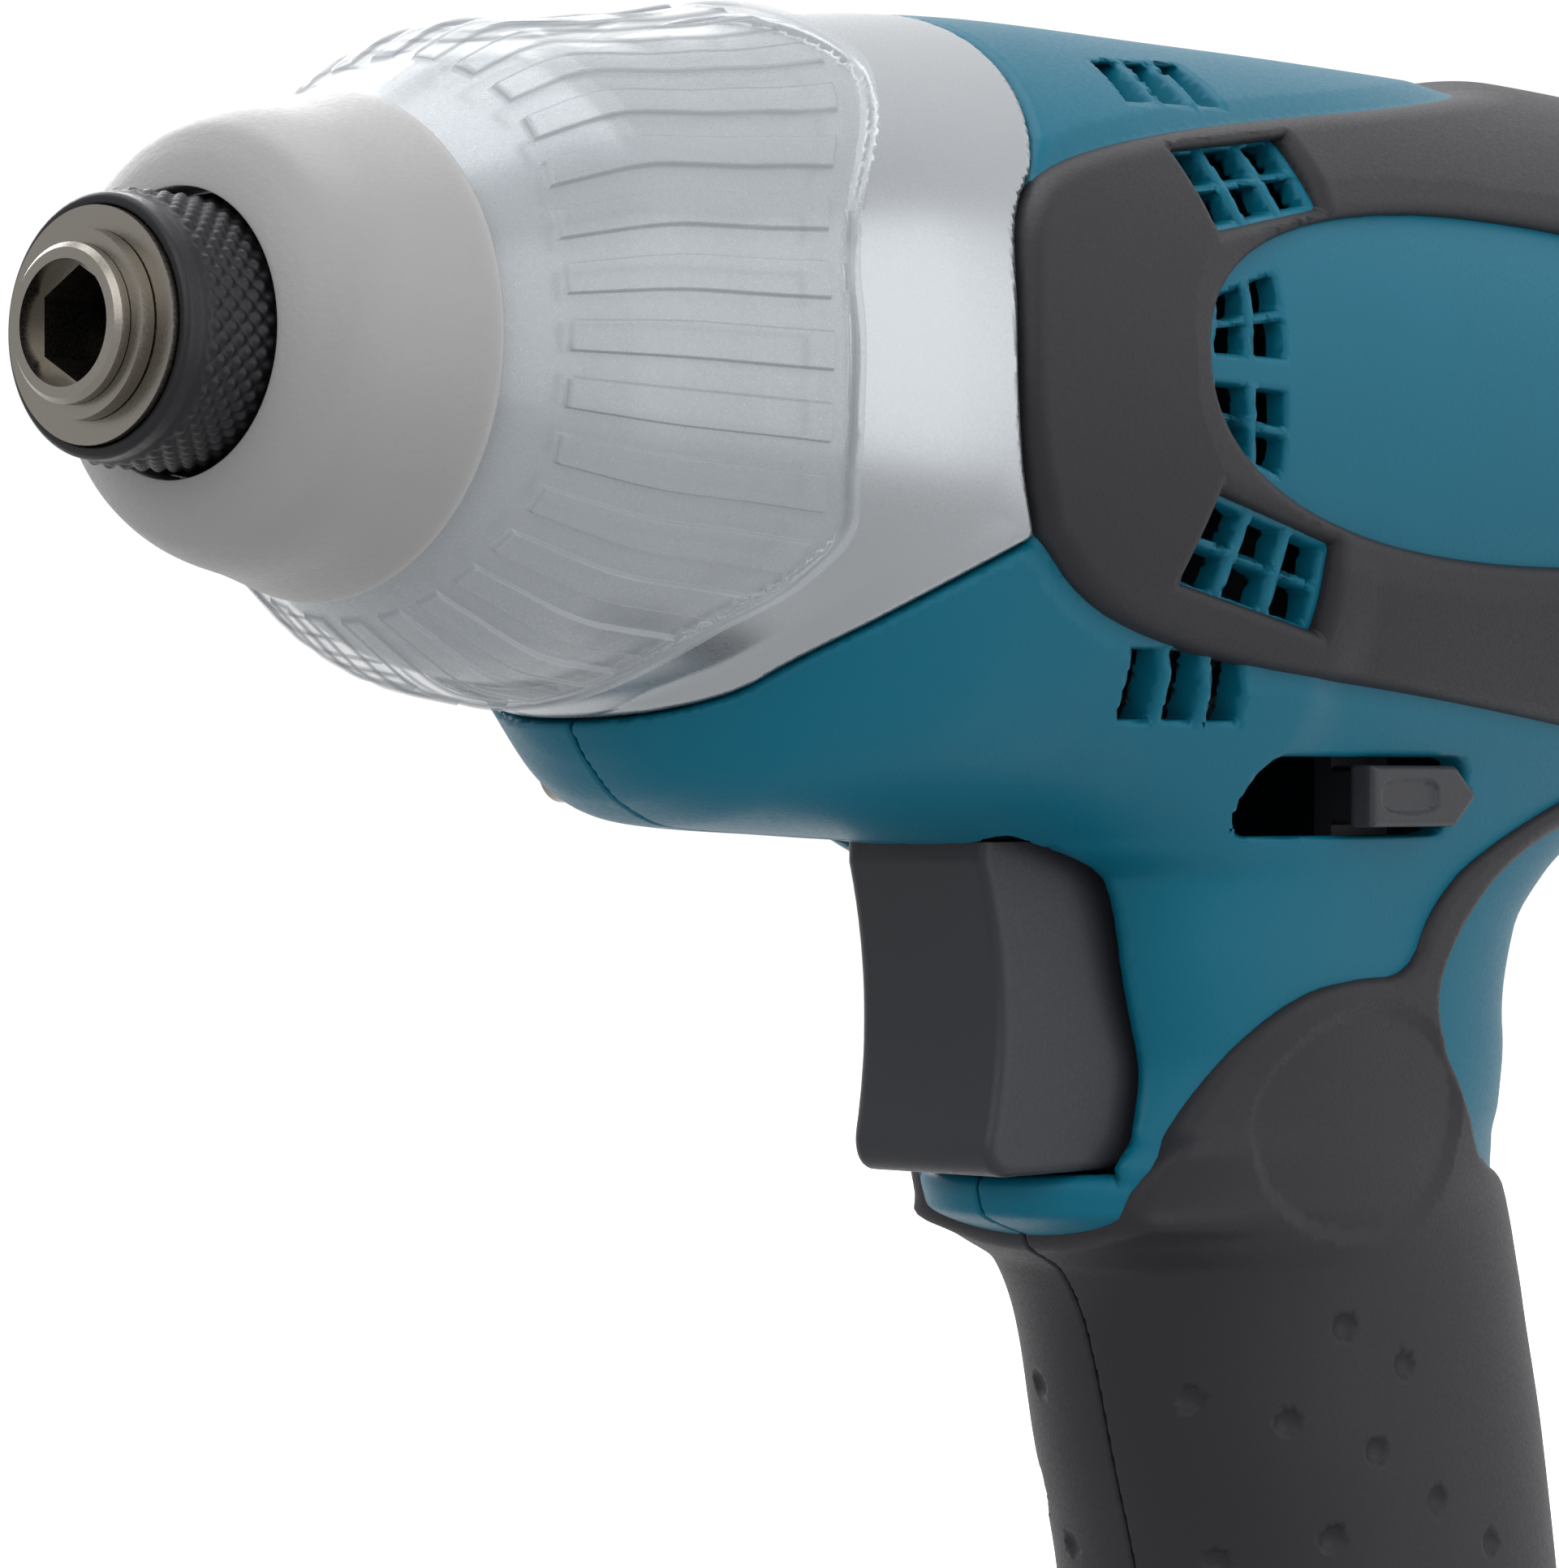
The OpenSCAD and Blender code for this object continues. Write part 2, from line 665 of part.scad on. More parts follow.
// Every air hole of one half
module air_slots(depth) {
    for (set = grille_sets, c = [0 : set[1] - 1], r = [0 : set[2] - 1])
        let (s0 = (c + bar_share) / set[1], s1 = (c + 1 - bar_share) / set[1],
            t0 = (r + bar_share) / set[2], t1 = (r + 1 - bar_share) / set[2])
            pane([for (at = [[s0, t0], [s1, t0], [s1, t1], [s0, t1]]) grille_place(set[0], at[0], at[1])]);
    low_slots(depth);
}

// The three slots under the rubber panel
module low_slots(depth) {
    at = barrel_place(low_slot_shares);
    for (c = [0 : low_slot_count - 1])
        translate([at[0] + c * (low_slot_w + slot_pitch_gap), -barrel_r, at[1]])
            hull() {
                translate([-low_slot_lean / 2, 0, low_slot_h / 2])
                    cube([low_slot_w, depth + barrel_r / 2, slot_edge]);
                translate([low_slot_lean / 2, 0, -low_slot_h / 2])
                    cube([low_slot_w, depth + barrel_r / 2, slot_edge]);
            }
}

/* Nose pieces */

module bumper() {
    color("#a9aaa8")
        turned()
            polygon(concat(bumper_profile(), [
                [nose_r + seam_gap + case_wall, bumper_end_x],
                [nose_r + seam_gap, bumper_end_x - case_wall],
                [nose_r + seam_gap, nose_x - seam_gap],
                [bumper_hole_r, nose_x - seam_gap],
                [bumper_hole_r, bumper_x]]));
}

module retaining_ring() {
    color("#b7a27c")
        tube(ring_x + seat_gap, ring_x + ring_len - seat_gap, ring_groove_r + seat_gap, ring_out_r);
}

module sleeve_washer() {
    color("#5d646c")
        tube(washer_x, washer_x + washer_t, tip_r + seat_gap, washer_out_r);
}

module anvil() {
    color("#8d8577")
        difference() {
            union() {
                turned()
                    polygon([[0, 0], [tip_r - tip_chamfer, 0], [tip_r, tip_chamfer], [tip_r, ring_x],
                        [ring_groove_r, ring_x], [ring_groove_r, ring_x + ring_len],
                        [tip_r, ring_x + ring_len], [tip_r, anvil_step_x], [anvil_r, anvil_step_x],
                        [anvil_r, journal_x - nose_gap / 2], [journal_r, journal_x],
                        [journal_r, wing_x], [hub_r, wing_x], [hub_r, wing_end_x], [0, wing_end_x]]);
                intersection() {
                    tube(wing_x, wing_end_x, 0, wing_r);
                    translate([wing_x - over, -wing_r, -wing_w / 2])
                        cube([wing_len + 2 * over, 2 * wing_r, wing_w]);
                }
            }
            translate([-over, 0, 0])
                rotate([0, 90, 0])
                    cylinder(r = socket_r, h = socket_depth + over, $fn = 6);
            tube(-over, mouth_depth, 0, mouth_r);
            tube(pilot_x, wing_end_x + over, 0, pilot_r + run_gap);
            for (side = [-1, 1])
                translate([ball_x, 0, 0])
                    rotate([side * 90, 0, 0])
                        cylinder(r = detent_r + run_gap, h = anvil_r + over, $fn = fine_fn);
        }
}

module sleeve() {
    color("#28282b")
        turned()
            polygon([[chamber_r, sleeve_x], [sleeve_front_r - sleeve_chamfer, sleeve_x],
                [sleeve_front_r, sleeve_x + sleeve_chamfer],
                [sleeve_front_r, sleeve_x + knurl_start - sleeve_chamfer],
                [knurl_r, sleeve_x + knurl_start],
                [knurl_r, sleeve_x + knurl_start + knurl_len],
                [sleeve_front_r, sleeve_x + knurl_start + knurl_len + sleeve_chamfer],
                [sleeve_flange_r, sleeve_x + knurl_start + knurl_len + 2 * sleeve_chamfer],
                [sleeve_flange_r, sleeve_x + knurl_start + knurl_len + flange_len],
                [sleeve_tail_r, sleeve_x + knurl_start + knurl_len + flange_len + sleeve_chamfer],
                [sleeve_tail_r, sleeve_end_x],
                [sleeve_bore_r + detent_lift + sleeve_chamfer / 2, sleeve_end_x],
                [sleeve_bore_r + detent_lift, ball_x + sleeve_stroke],
                [sleeve_bore_r, ball_x],
                [sleeve_bore_r, shoulder_x],
                [chamber_r, shoulder_x]]);
}

module sleeve_spring() {
    color("silver")
        skin(coil_rings(washer_x + washer_t + seat_gap, shoulder_x - washer_x - washer_t - 2 * seat_gap,
            sleeve_spring_turns, (anvil_r + chamber_r) / 2, sleeve_spring_wire_r));
}

module detent_ball(side) {
    color("silver")
        translate([ball_x, side * detent_c, 0])
            sphere(r = detent_r, $fn = fine_fn);
}

/* Case and cover */

module case_bush() {
    color("#b08d57")
        tube(journal_x + seat_gap, bush_end_x, journal_r + run_gap, journal_r + bush_wall);
}

module anvil_washer() {
    color("#d8d2bd")
        tube(bush_end_x + seat_gap, bush_end_x + seat_gap + anvil_washer_t, hub_r - bush_wall + run_gap,
            wing_bore_r - seam_gap);
}

// Radius of an outline at a place along the axis
function radius_at(profile, x) = lookup(x, [for (row = profile) [row[1], row[0]]]);

// The case's outline where it is bare, made larger or smaller
function case_profile(grow) =
    let (line = barrel_profile(grow))
        concat([[0, barrel_x]], [for (row = line) if (row[1] < case_end_x) row],
            [[radius_at(line, case_end_x), case_end_x], [0, case_end_x]]);

// The cover's outline: its own cone, then the barrel's line raised by the step between them
function cover_line(grow) =
    let (step = cover_r - radius_at(barrel_profile(0), cover_end_x), line = barrel_profile(grow + step))
        concat(cover_profile(grow),
            [for (row = line) if (row[1] > cover_end_x && row[1] < cover_tail_x) row],
            [[radius_at(line, cover_tail_x), cover_tail_x]]);

function cover_edge_x(angle) = barrel_x + lookup(angle, cover_edge_shares) * barrel_len();

// Side-view area in front of the cover's slanted rear edge
module cover_area(shift) {
    edge = [for (row = cover_edge_shares)
        let (x = cover_edge_x(row[0])) [x, radius_at(barrel_profile(0), x) * cos(row[0])]];
    translate([shift, 0, 0])
        across(concat([[0, 2 * barrel_r], [cover_edge_x(0), 2 * barrel_r]], edge,
            [[cover_edge_x(180), -2 * barrel_r], [0, -2 * barrel_r]]), 3 * barrel_r);
}

// A rib's outline: raised on its outer side, sunk in the cover's wall on its inner side
function rib_outline(line) =
    concat([for (row = line) [row[0] + rib_h, row[1]]],
        [for (k = [len(line) - 1 : -1 : 0]) [line[k][0] - cover_t / 2, line[k][1]]]);

// A turned skin of the cover between two distances from its outline
module cover_skin(low, high) {
    outer = cover_line(high);
    inner = cover_line(low);
    turned()
        polygon(concat(outer, [for (i = [len(inner) - 1 : -1 : 0]) inner[i]]));
}

module hammer_case() {
    bush_out_r = journal_r + bush_wall + seat_gap;
    color("#bfc4c9")
        difference() {
            union() {
                difference() {
                    union() {
                        turned()
                            polygon(concat([[0, nose_x], [nose_r, nose_x], [nose_r, bumper_end_x - case_wall]],
                                cover_line(-cover_t - seam_gap), [[0, cover_tail_x]]));
                        difference() {
                            turned()
                                polygon(case_profile(0));
                            cover_area(seam_gap);
                        }
                    }
                    front_area(-seam_gap);
                }
                turned()
                    polygon(case_profile(-spigot_drop));
            }
            tube(nose_x - over, journal_x, 0, nose_bore_r);
            tube(journal_x - over, bush_end_x + over, 0, bush_out_r);
            tube(bush_end_x, hammer_x - face_gap / 2, 0, wing_bore_r);
            tube(hammer_x - face_gap / 2 - over, case_end_x + over, 0, case_bore_r);
        }
}

module case_cover() {
    outer = cover_line(0);
    rib_x0 = cover_x + rib_start_share * (cover_end_x - cover_x);
    rib_angle = rib_w / cover_r * 180 / PI;
    color("#d5dade", 0.35)
        union() {
            intersection() {
                union() {
                    cover_skin(-cover_t, 0);
                    for (i = [0 : rib_count - 1])
                        let (turn = i * 360 / rib_count,
                            rib_x1 = cover_edge_x(abs(180 - turn - 3 * rib_angle / 2)) - rib_margin,
                            line = concat([[radius_at(outer, rib_x0), rib_x0]],
                                [for (row = outer) if (row[1] > rib_x0 && row[1] < rib_x1) row],
                                [[radius_at(outer, rib_x1), rib_x1]]))
                            rotate([turn, 0, 0])
                                rotate([0, 90, 0])
                                    rotate([0, 0, rib_angle])
                                        rotate_extrude(angle = rib_angle, $fn = fine_fn)
                                            polygon(rib_outline(line));
                }
                cover_area(0);
            }
            difference() {
                intersection() {
                    cover_skin(-cover_t / 2, lip_h);
                    cover_area(-seat_gap);
                }
                cover_area(-lip_len);
            }
        }
}

/* Impact mechanism */

module hammer() {
    dog_start = wing_half_angle + dog_play_angle;
    color("#6d6f73")
        difference() {
            union() {
                turned()
                    polygon([[spindle_r + run_gap, hammer_x], [hammer_r - hammer_chamfer, hammer_x],
                        [hammer_r, hammer_x + hammer_chamfer], [hammer_r, hammer_end_x - hammer_chamfer],
                        [hammer_r - hammer_chamfer, hammer_end_x], [skirt_in_r, hammer_end_x],
                        [skirt_in_r, web_end_x], [spindle_r + run_gap, web_end_x]]);
                for (turn = [90, 270])
                    sector(wing_x + dog_gap, hammer_x + over, dog_in_r, wing_r,
                        turn + dog_start, turn + dog_start + dog_angle);
            }
            turned()
                translate([thrust_c, thrust_x])
                    circle(r = thrust_ball_r + seat_gap, $fn = fine_fn);
            for (turn = [0, 180])
                rotate([turn, 0, 0])
                    translate([cam_x, 0, cam_ball_c])
                        sphere(r = cam_ball_r + seat_gap, $fn = fine_fn);
        }
}

module cam_balls() {
    color("silver")
        for (turn = [0, 180])
            rotate([turn, 0, 0])
                translate([cam_x, 0, cam_ball_c])
                    sphere(r = cam_ball_r, $fn = fine_fn);
}

module thrust_balls() {
    color("silver")
        around_axis(thrust_count)
            translate([thrust_x, 0, thrust_c])
                sphere(r = thrust_ball_r, $fn = fine_fn);
}

module thrust_washer() {
    color("#7b7d80")
        tube(thrust_washer_x, thrust_washer_x + thrust_washer_t, thrust_washer_in_r, thrust_washer_out_r);
}

module hammer_spring() {
    color("#55585c")
        skin(coil_rings(hammer_spring_x, hammer_spring_len, hammer_spring_turns, thrust_c,
            hammer_spring_wire_r));
}

// The cam groove on one side: two straight round cuts that cross at the ball's seat
module cam_groove() {
    start = [cam_x, 0, cam_ball_c];
    groove_r = cam_ball_r + 2 * run_gap;
    for (turn = [-cam_turn, cam_turn]) {
        finish = [cam_x + hammer_travel, -cam_ball_c * sin(turn), cam_ball_c * cos(turn)];
        way = finish - start;
        length = norm(way);
        translate(start)
            rotate([0, acos(way[2] / length), atan2(way[1], way[0])])
                translate([0, 0, -groove_r])
                    cylinder(r = groove_r, h = length + 2 * groove_r, $fn = fine_fn);
    }
}

module spindle() {
    color("#8a8c90")
        difference() {
            union() {
                turned()
                    polygon([[0, pilot_x + free_gap], [pilot_r, pilot_x + free_gap], [pilot_r, hammer_x],
                        [spindle_r, hammer_x], [spindle_r, carrier_x], [carrier_r, carrier_x],
                        [carrier_r, carrier_x + carrier_t], [0, carrier_x + carrier_t]]);
                tube(rear_plate_x, rear_plate_x + rear_plate_t, 0, rear_plate_r);
                tube(rear_plate_x, spindle_end_x, 0, spindle_tail_r);
                for (k = [0 : planet_count - 1])
                    rotate([k * 360 / planet_count + pillar_angle, 0, 0])
                        translate([carrier_x + carrier_t / 2, 0, pillar_r + pillar_inset - rear_plate_r])
                            rotate([0, 90, 0])
                                cylinder(r = pillar_r, h = rear_plate_x - carrier_x, $fn = fine_fn);
            }
            tube(rear_plate_x - over, spindle_end_x + over, 0, spindle_tail_bore_r);
            for (k = [0 : planet_count - 1])
                at_planet(k)
                    tube(carrier_x + carrier_t / 3, spindle_tail_x + over, 0, pin_r + seat_gap / 2);
            for (side = [0, 180])
                rotate([side, 0, 0])
                    cam_groove();
        }
}

/* Planetary gears */

module planet_pins() {
    color("silver")
        for (k = [0 : planet_count - 1])
            at_planet(k)
                tube(carrier_x + carrier_t / 3 + seat_gap, spindle_tail_x - seat_gap, 0, pin_r);
}

module planet_gear(k) {
    angle = k * 360 / planet_count;
    color("#75787c")
        at_planet(k)
            rotate([180 / planet_teeth + angle * (1 + sun_teeth / planet_teeth), 0, 0])
                difference() {
                    gear(planet_teeth, planet_x, planet_end_x);
                    tube(planet_x - over, planet_end_x + over, 0, pin_r + run_gap);
                }
}

module ring_gear() {
    color("#5f6266")
        difference() {
            tube(planet_x - free_gap, rear_plate_x, 0, ring_gear_r);
            translate([planet_x - over, 0, 0])
                rotate([0, 90, 0])
                    rotate([0, 0, 180 / ring_teeth])
                        linear_extrude(planet_len + 2 * over)
                            polygon(gear_points(ring_teeth, ring_r - addendum_share * gear_module,
                                ring_r + dedendum_share * gear_module, -tooth_play));
        }
}

module bearing_box() {
    rim_r = rear_plate_r + 2 * free_gap;
    color("#3a3b3e")
        turned()
            polygon([[spindle_bearing_r + seat_gap, spindle_bearing_x], [rim_r, spindle_bearing_x],
                [rim_r, rear_plate_x + seat_gap], [ring_gear_r, rear_plate_x + seat_gap],
                [ring_gear_r, case_end_x], [box_boss_r, case_end_x],
                [box_boss_r, box_end_x], [front_bearing_r + seat_gap, box_end_x],
                [front_bearing_r + seat_gap, front_bearing_x - seat_gap],
                [spindle_tail_r, front_bearing_x - seat_gap],
                [spindle_tail_r, spindle_end_x + free_gap],
                [spindle_bearing_r + seat_gap, spindle_end_x + free_gap]]);
}

// A closed ball bearing: two races with the shield set back between them
module bearing(x0, r_in, r_out) {
    land = (r_out - r_in) / 4;
    shield = bearing_len / 12;
    color("#a7abb0")
        turned()
            polygon([[r_in, x0], [r_in + land, x0], [r_in + land, x0 + shield], [r_out - land, x0 + shield],
                [r_out - land, x0], [r_out, x0], [r_out, x0 + bearing_len], [r_out - land, x0 + bearing_len],
                [r_out - land, x0 + bearing_len - shield], [r_in + land, x0 + bearing_len - shield],
                [r_in + land, x0 + bearing_len], [r_in, x0 + bearing_len]]);
}

module spindle_bearing() {
    bearing(spindle_bearing_x, spindle_tail_r + run_gap, spindle_bearing_r);
}

/* Motor */

module rotor_shaft() {
    color("#9a9da1")
        union() {
            gear(sun_teeth, pinion_x, pinion_end_x);
            turned()
                polygon([[0, pinion_end_x], [pinion_neck_r, pinion_end_x],
                    [pinion_neck_r, front_bearing_x - nose_gap], [shaft_r, front_bearing_x - nose_gap],
                    [shaft_r, commutator_end_x + over], [rear_shaft_r, commutator_end_x + over],
                    [rear_shaft_r, shaft_end_x], [0, shaft_end_x]]);
        }
}

module front_bearing() {
    bearing(front_bearing_x, shaft_r + run_gap, front_bearing_r);
}

module fan() {
    color("#2f3033")
        union() {
            tube(fan_x, fan_end_x, shaft_r + seat_gap, fan_hub_r);
            tube(fan_end_x - fan_plate_t, fan_end_x, shaft_r + seat_gap, fan_r);
            around_axis(blade_count)
                translate([fan_x, -blade_t / 2, blade_in_r])
                    cube([fan_len - fan_plate_t / 2, blade_t, fan_r - blade_in_r - blade_t]);
        }
}

module armature_core() {
    color("#77797c")
        difference() {
            tube(stack_x, stack_end_x, shaft_r + seat_gap, armature_r);
            around_axis(slot_count) {
                translate([stack_x - over, -slot_w / 2, armature_r - slot_depth])
                    cube([stack_len + 2 * over, slot_w, slot_depth * (1 - slot_mouth_share)]);
                translate([stack_x - over, -slot_w * slot_mouth_share / 2, armature_r - slot_depth / 2])
                    cube([stack_len + 2 * over, slot_w * slot_mouth_share, slot_depth]);
            }
        }
}

module armature_windings() {
    bar_w = slot_w - 2 * seat_gap;
    bar_h = slot_depth * (1 - slot_mouth_share) - 2 * seat_gap;
    color("#b4672f")
        union() {
            for (x = [stack_x - winding_head, stack_end_x + seat_gap])
                tube(x, x + winding_head - seat_gap, shaft_r + seat_gap, winding_r);
            around_axis(slot_count)
                translate([stack_x - over, -bar_w / 2, armature_r - slot_depth + seat_gap])
                    cube([stack_len + 2 * over, bar_w, bar_h]);
        }
}

module commutator() {
    color("#b8793f")
        difference() {
            union() {
                tube(commutator_x, commutator_end_x, shaft_r + seat_gap, commutator_r);
                tube(commutator_x, commutator_x + riser_len, shaft_r + seat_gap, riser_r);
            }
            around_axis(segment_count)
                translate([commutator_x - over, -segment_cut_w / 2, commutator_r - segment_cut_depth])
                    cube([commutator_len + 2 * over, segment_cut_w, riser_r]);
        }
}

module rear_bearing() {
    bearing(rear_bearing_x, rear_shaft_r + run_gap, rear_bearing_r);
}

module bearing_rubber() {
    color("#242427")
        tube(rear_bearing_x, rear_bearing_end_x, rear_bearing_r + seat_gap, rear_bearing_r + rubber_t);
}

module field_core() {
    window = 90 - pole_angle / 2;
    color("#6f7174")
        difference() {
            tube(stack_x, stack_end_x, field_bore_r, field_r);
            for (turn = [90, 270])
                sector(stack_x - over, stack_end_x + over, field_bore_r - over, yoke_in_r,
                    turn - window, turn + window);
        }
}

module field_coils() {
    side0 = pole_angle / 2 + coil_gap_angle;
    side1 = side0 + coil_side_angle;
    color("#a85c28")
        for (turn = [0, 180])
            difference() {
                sector(stack_x - coil_end, stack_end_x + coil_end, coil_in_r, coil_end_r,
                    turn - side1, turn + side1);
                sector(stack_x - seat_gap, stack_end_x + seat_gap, coil_in_r - over, coil_end_r + over,
                    turn - side0, turn + side0);
                sector(stack_x - seat_gap, stack_end_x + seat_gap, coil_out_r, coil_end_r + over,
                    turn - side1 - coil_gap_angle / 2, turn + side1 + coil_gap_angle / 2);
            }
}

module air_baffle() {
    color("#35363a")
        tube(baffle_x, baffle_x + baffle_t, baffle_in_r, field_r + over);
}

module brush_holders() {
    mid = commutator_x + (commutator_len + riser_len) / 2;
    box_w = brush_w + 2 * (holder_wall + run_gap);
    hole_w = brush_w + 2 * run_gap;
    box_len = brush_len + 2 * (holder_wall + run_gap);
    hole_len = brush_len + 2 * run_gap;
    color("#c2a24f")
        for (side = [-1, 1])
            difference() {
                translate([mid - box_len / 2,
                    side * (commutator_r + holder_lift + holder_reach / 2) - holder_reach / 2, -box_w / 2])
                    cube([box_len, holder_reach, box_w]);
                translate([mid - hole_len / 2,
                    side * (commutator_r + holder_lift + holder_reach / 2 - holder_wall) - holder_reach / 2, -hole_w / 2])
                    cube([hole_len, holder_reach, hole_w]);
            }
}

module carbon_brushes() {
    mid = commutator_x + (commutator_len + riser_len) / 2;
    color("#3c3c3c")
        for (side = [-1, 1])
            difference() {
                translate([mid - brush_len / 2, side > 0 ? 0 : -commutator_r - brush_reach, -brush_w / 2])
                    cube([brush_len, commutator_r + brush_reach, brush_w]);
                tube(commutator_x, commutator_end_x + over, 0, commutator_r + run_gap);
            }
}

/* Switch and controls */

// Plan of the trigger: a crowned front with rounded corners
module trigger_plan() {
    corner_y = trigger_w / 2 - trigger_edge_r;
    corner_x = trigger_front_x + trigger_crown + trigger_edge_r;
    translate([corner_x, -trigger_w / 2])
        square([trigger_back_x - corner_x, trigger_w]);
    for (side = [-1, 1])
        translate([corner_x, side * corner_y])
            circle(r = trigger_edge_r, $fn = fine_fn);
    polygon([[corner_x - trigger_edge_r, -corner_y], [trigger_front_x, -corner_y / 2],
        [trigger_front_x, corner_y / 2],
        [corner_x - trigger_edge_r, corner_y], [corner_x + over, corner_y], [corner_x + over, -corner_y]]);
}

// Side view of the trigger: a hollow finger face between two noses
module trigger_side() {
    low_z = trigger_top_z - trigger_h;
    hollow_r = (pow(trigger_h / 2 - trigger_nose_r / 2, 2) + pow(trigger_hollow, 2)) / (2 * trigger_hollow);
    difference() {
        translate([trigger_front_x, low_z])
            square([trigger_back_x - trigger_front_x, trigger_h]);
        translate([trigger_front_x + trigger_hollow - hollow_r, trigger_top_z - trigger_h / 2])
            circle(r = hollow_r, $fn = fine_fn);
        translate([trigger_front_x - over, low_z - over])
            polygon([[0, 0], [trigger_nose_r + over, 0], [0, trigger_nose_r / 2 + over]]);
    }
}

module trigger() {
    stem_z = trigger_top_z - stem_drop_share * trigger_h;
    color("#3c3c40")
        union() {
            intersection() {
                rotate([90, 0, 0])
                    translate([0, 0, -trigger_w])
                        linear_extrude(2 * trigger_w)
                            trigger_side();
                translate([0, 0, trigger_top_z - trigger_h - over])
                    linear_extrude(trigger_h + 2 * over)
                        trigger_plan();
            }
            translate([trigger_back_x - over, 0, stem_z])
                rotate([0, 90, 0])
                    cylinder(r = stem_r, h = stem_len + over, $fn = fine_fn);
        }
}

module switch_body() {
    stem_z = trigger_top_z - stem_drop_share * trigger_h;
    color("#46474a")
        union() {
            difference() {
                translate([switch_x, -switch_w / 2, switch_z - switch_h])
                    cube([switch_len, switch_w, switch_h]);
                translate([switch_x - over, 0, stem_z])
                    rotate([0, 90, 0])
                        cylinder(r = stem_r + run_gap, h = switch_bore_len + over, $fn = fine_fn);
                for (side = [-1, 1])
                    translate([switch_x + switch_len / 4, side * switch_w / 2 - switch_edge / 2,
                        switch_z - switch_h - over])
                        cube([switch_len / 2, switch_edge, switch_h + 2 * over]);
            }
            for (side = [-1, 1])
                translate([switch_x + switch_len - over, side * switch_w / 4 - terminal_w / 2,
                    switch_z - switch_h + terminal_h])
                    cube([terminal_h + over, terminal_w, terminal_w]);
        }
}

module noise_capacitor() {
    color("#8c7a35")
        translate([switch_x + switch_len / 2 - capacitor_len / 2, -capacitor_w / 2,
            switch_z - switch_h - capacitor_h - seat_gap])
            cube([capacitor_len, capacitor_w, capacitor_h]);
}

module terminal_block() {
    top_z = switch_z - switch_h - capacitor_h - 2 * seat_gap;
    mid_x = grip_axis(block_h / 2 - top_z);
    color("#d9d6c8")
        difference() {
            translate([mid_x - block_len / 2, -block_w / 2, top_z - block_h])
                cube([block_len, block_w, block_h]);
            for (side = [-1, 1])
                translate([mid_x + side * block_len / 4, -block_w, top_z - block_h / 2])
                    rotate([-90, 0, 0])
                        cylinder(r = block_screw_r, h = block_w, $fn = fine_fn);
        }
}

// The lever's finger block has a pointed rear end
module reversing_lever() {
    end_x = lever_slot_x + lever_slot_len - (lever_slot_h - lever_h) / 2;
    start_x = end_x - lever_len;
    color("#2b2b2e")
        union() {
            translate([0, -lever_plate_y, 0])
                rotate([90, 0, 0])
                    linear_extrude(lever_out_y - lever_plate_y)
                        polygon([[start_x, lever_slot_z - lever_h / 2],
                            [end_x - lever_point, lever_slot_z - lever_h / 2],
                            [end_x, lever_slot_z], [end_x - lever_point, lever_slot_z + lever_h / 2],
                            [start_x, lever_slot_z + lever_h / 2]]);
            translate([end_x - lever_plate_margin - lever_plate_len, -lever_plate_y,
                lever_slot_z - lever_plate_h / 2])
                cube([lever_plate_len, lever_plate_t, lever_plate_h]);
            translate([start_x + lever_len / 2 - lever_arm_w / 2, -lever_plate_y, lever_slot_z - lever_h / 2])
                cube([lever_arm_w, lever_arm_reach, lever_arm_h]);
        }
}

module cord_gland() {
    mid_x = grip_axis(handle_drop);
    color("#222225")
        translate([mid_x, 0, 0])
            rotate_extrude($fn = fine_fn)
                polygon([[cable_r, -handle_drop - gland_flange_t],
                    [gland_flange_r - gland_flange_t / 2, -handle_drop - gland_flange_t],
                    [gland_flange_r, -handle_drop - gland_flange_t / 2],
                    [gland_flange_r, -handle_drop - seat_gap], [gland_r, -handle_drop - seat_gap],
                    [gland_r, -handle_drop + foot_wall + seat_gap],
                    [gland_flange_r, -handle_drop + foot_wall + seat_gap],
                    [gland_flange_r, -handle_drop + foot_wall + gland_flange_t],
                    [gland_r, -handle_drop + gland_len], [cable_r, -handle_drop + gland_len]]);
}

/* Housing halves, rubber and screws */

// Hollow of the two halves: barrel, case seat and handle
module hollow() {
    difference() {
        barrel(-wall, hollow_fn);
        tube(rear_x - wall - over, rear_x + over, 0, 2 * barrel_r, hollow_fn);
    }
    turned(mesh_fn)
        polygon(case_profile(seam_gap - spigot_drop));
    chin(-wall);
    intersection() {
        handle(-wall, hollow_points);
        translate([-rear_x, -barrel_r, -handle_drop + foot_wall])
            cube([3 * rear_x, 2 * barrel_r, handle_drop]);
    }
}

// Opening for the trigger in the front of the handle
module trigger_gate() {
    gate_w = trigger_w + 2 * free_gap;
    translate([trigger_front_x - 2 * over, -gate_w / 2, trigger_top_z - trigger_h - free_gap])
        cube([switch_x - trigger_front_x, gate_w, trigger_h + 2 * free_gap]);
}

// Slot for the reversing lever, in the left half only
module lever_slot() {
    r = lever_slot_h / 2;
    hull()
        for (x = [lever_slot_x + r, lever_slot_x + lever_slot_len - r])
            translate([x, -barrel_r, lever_slot_z])
                rotate([-90, 0, 0])
                    cylinder(r = r, h = barrel_r / 2 + over, $fn = boss_fn);
}

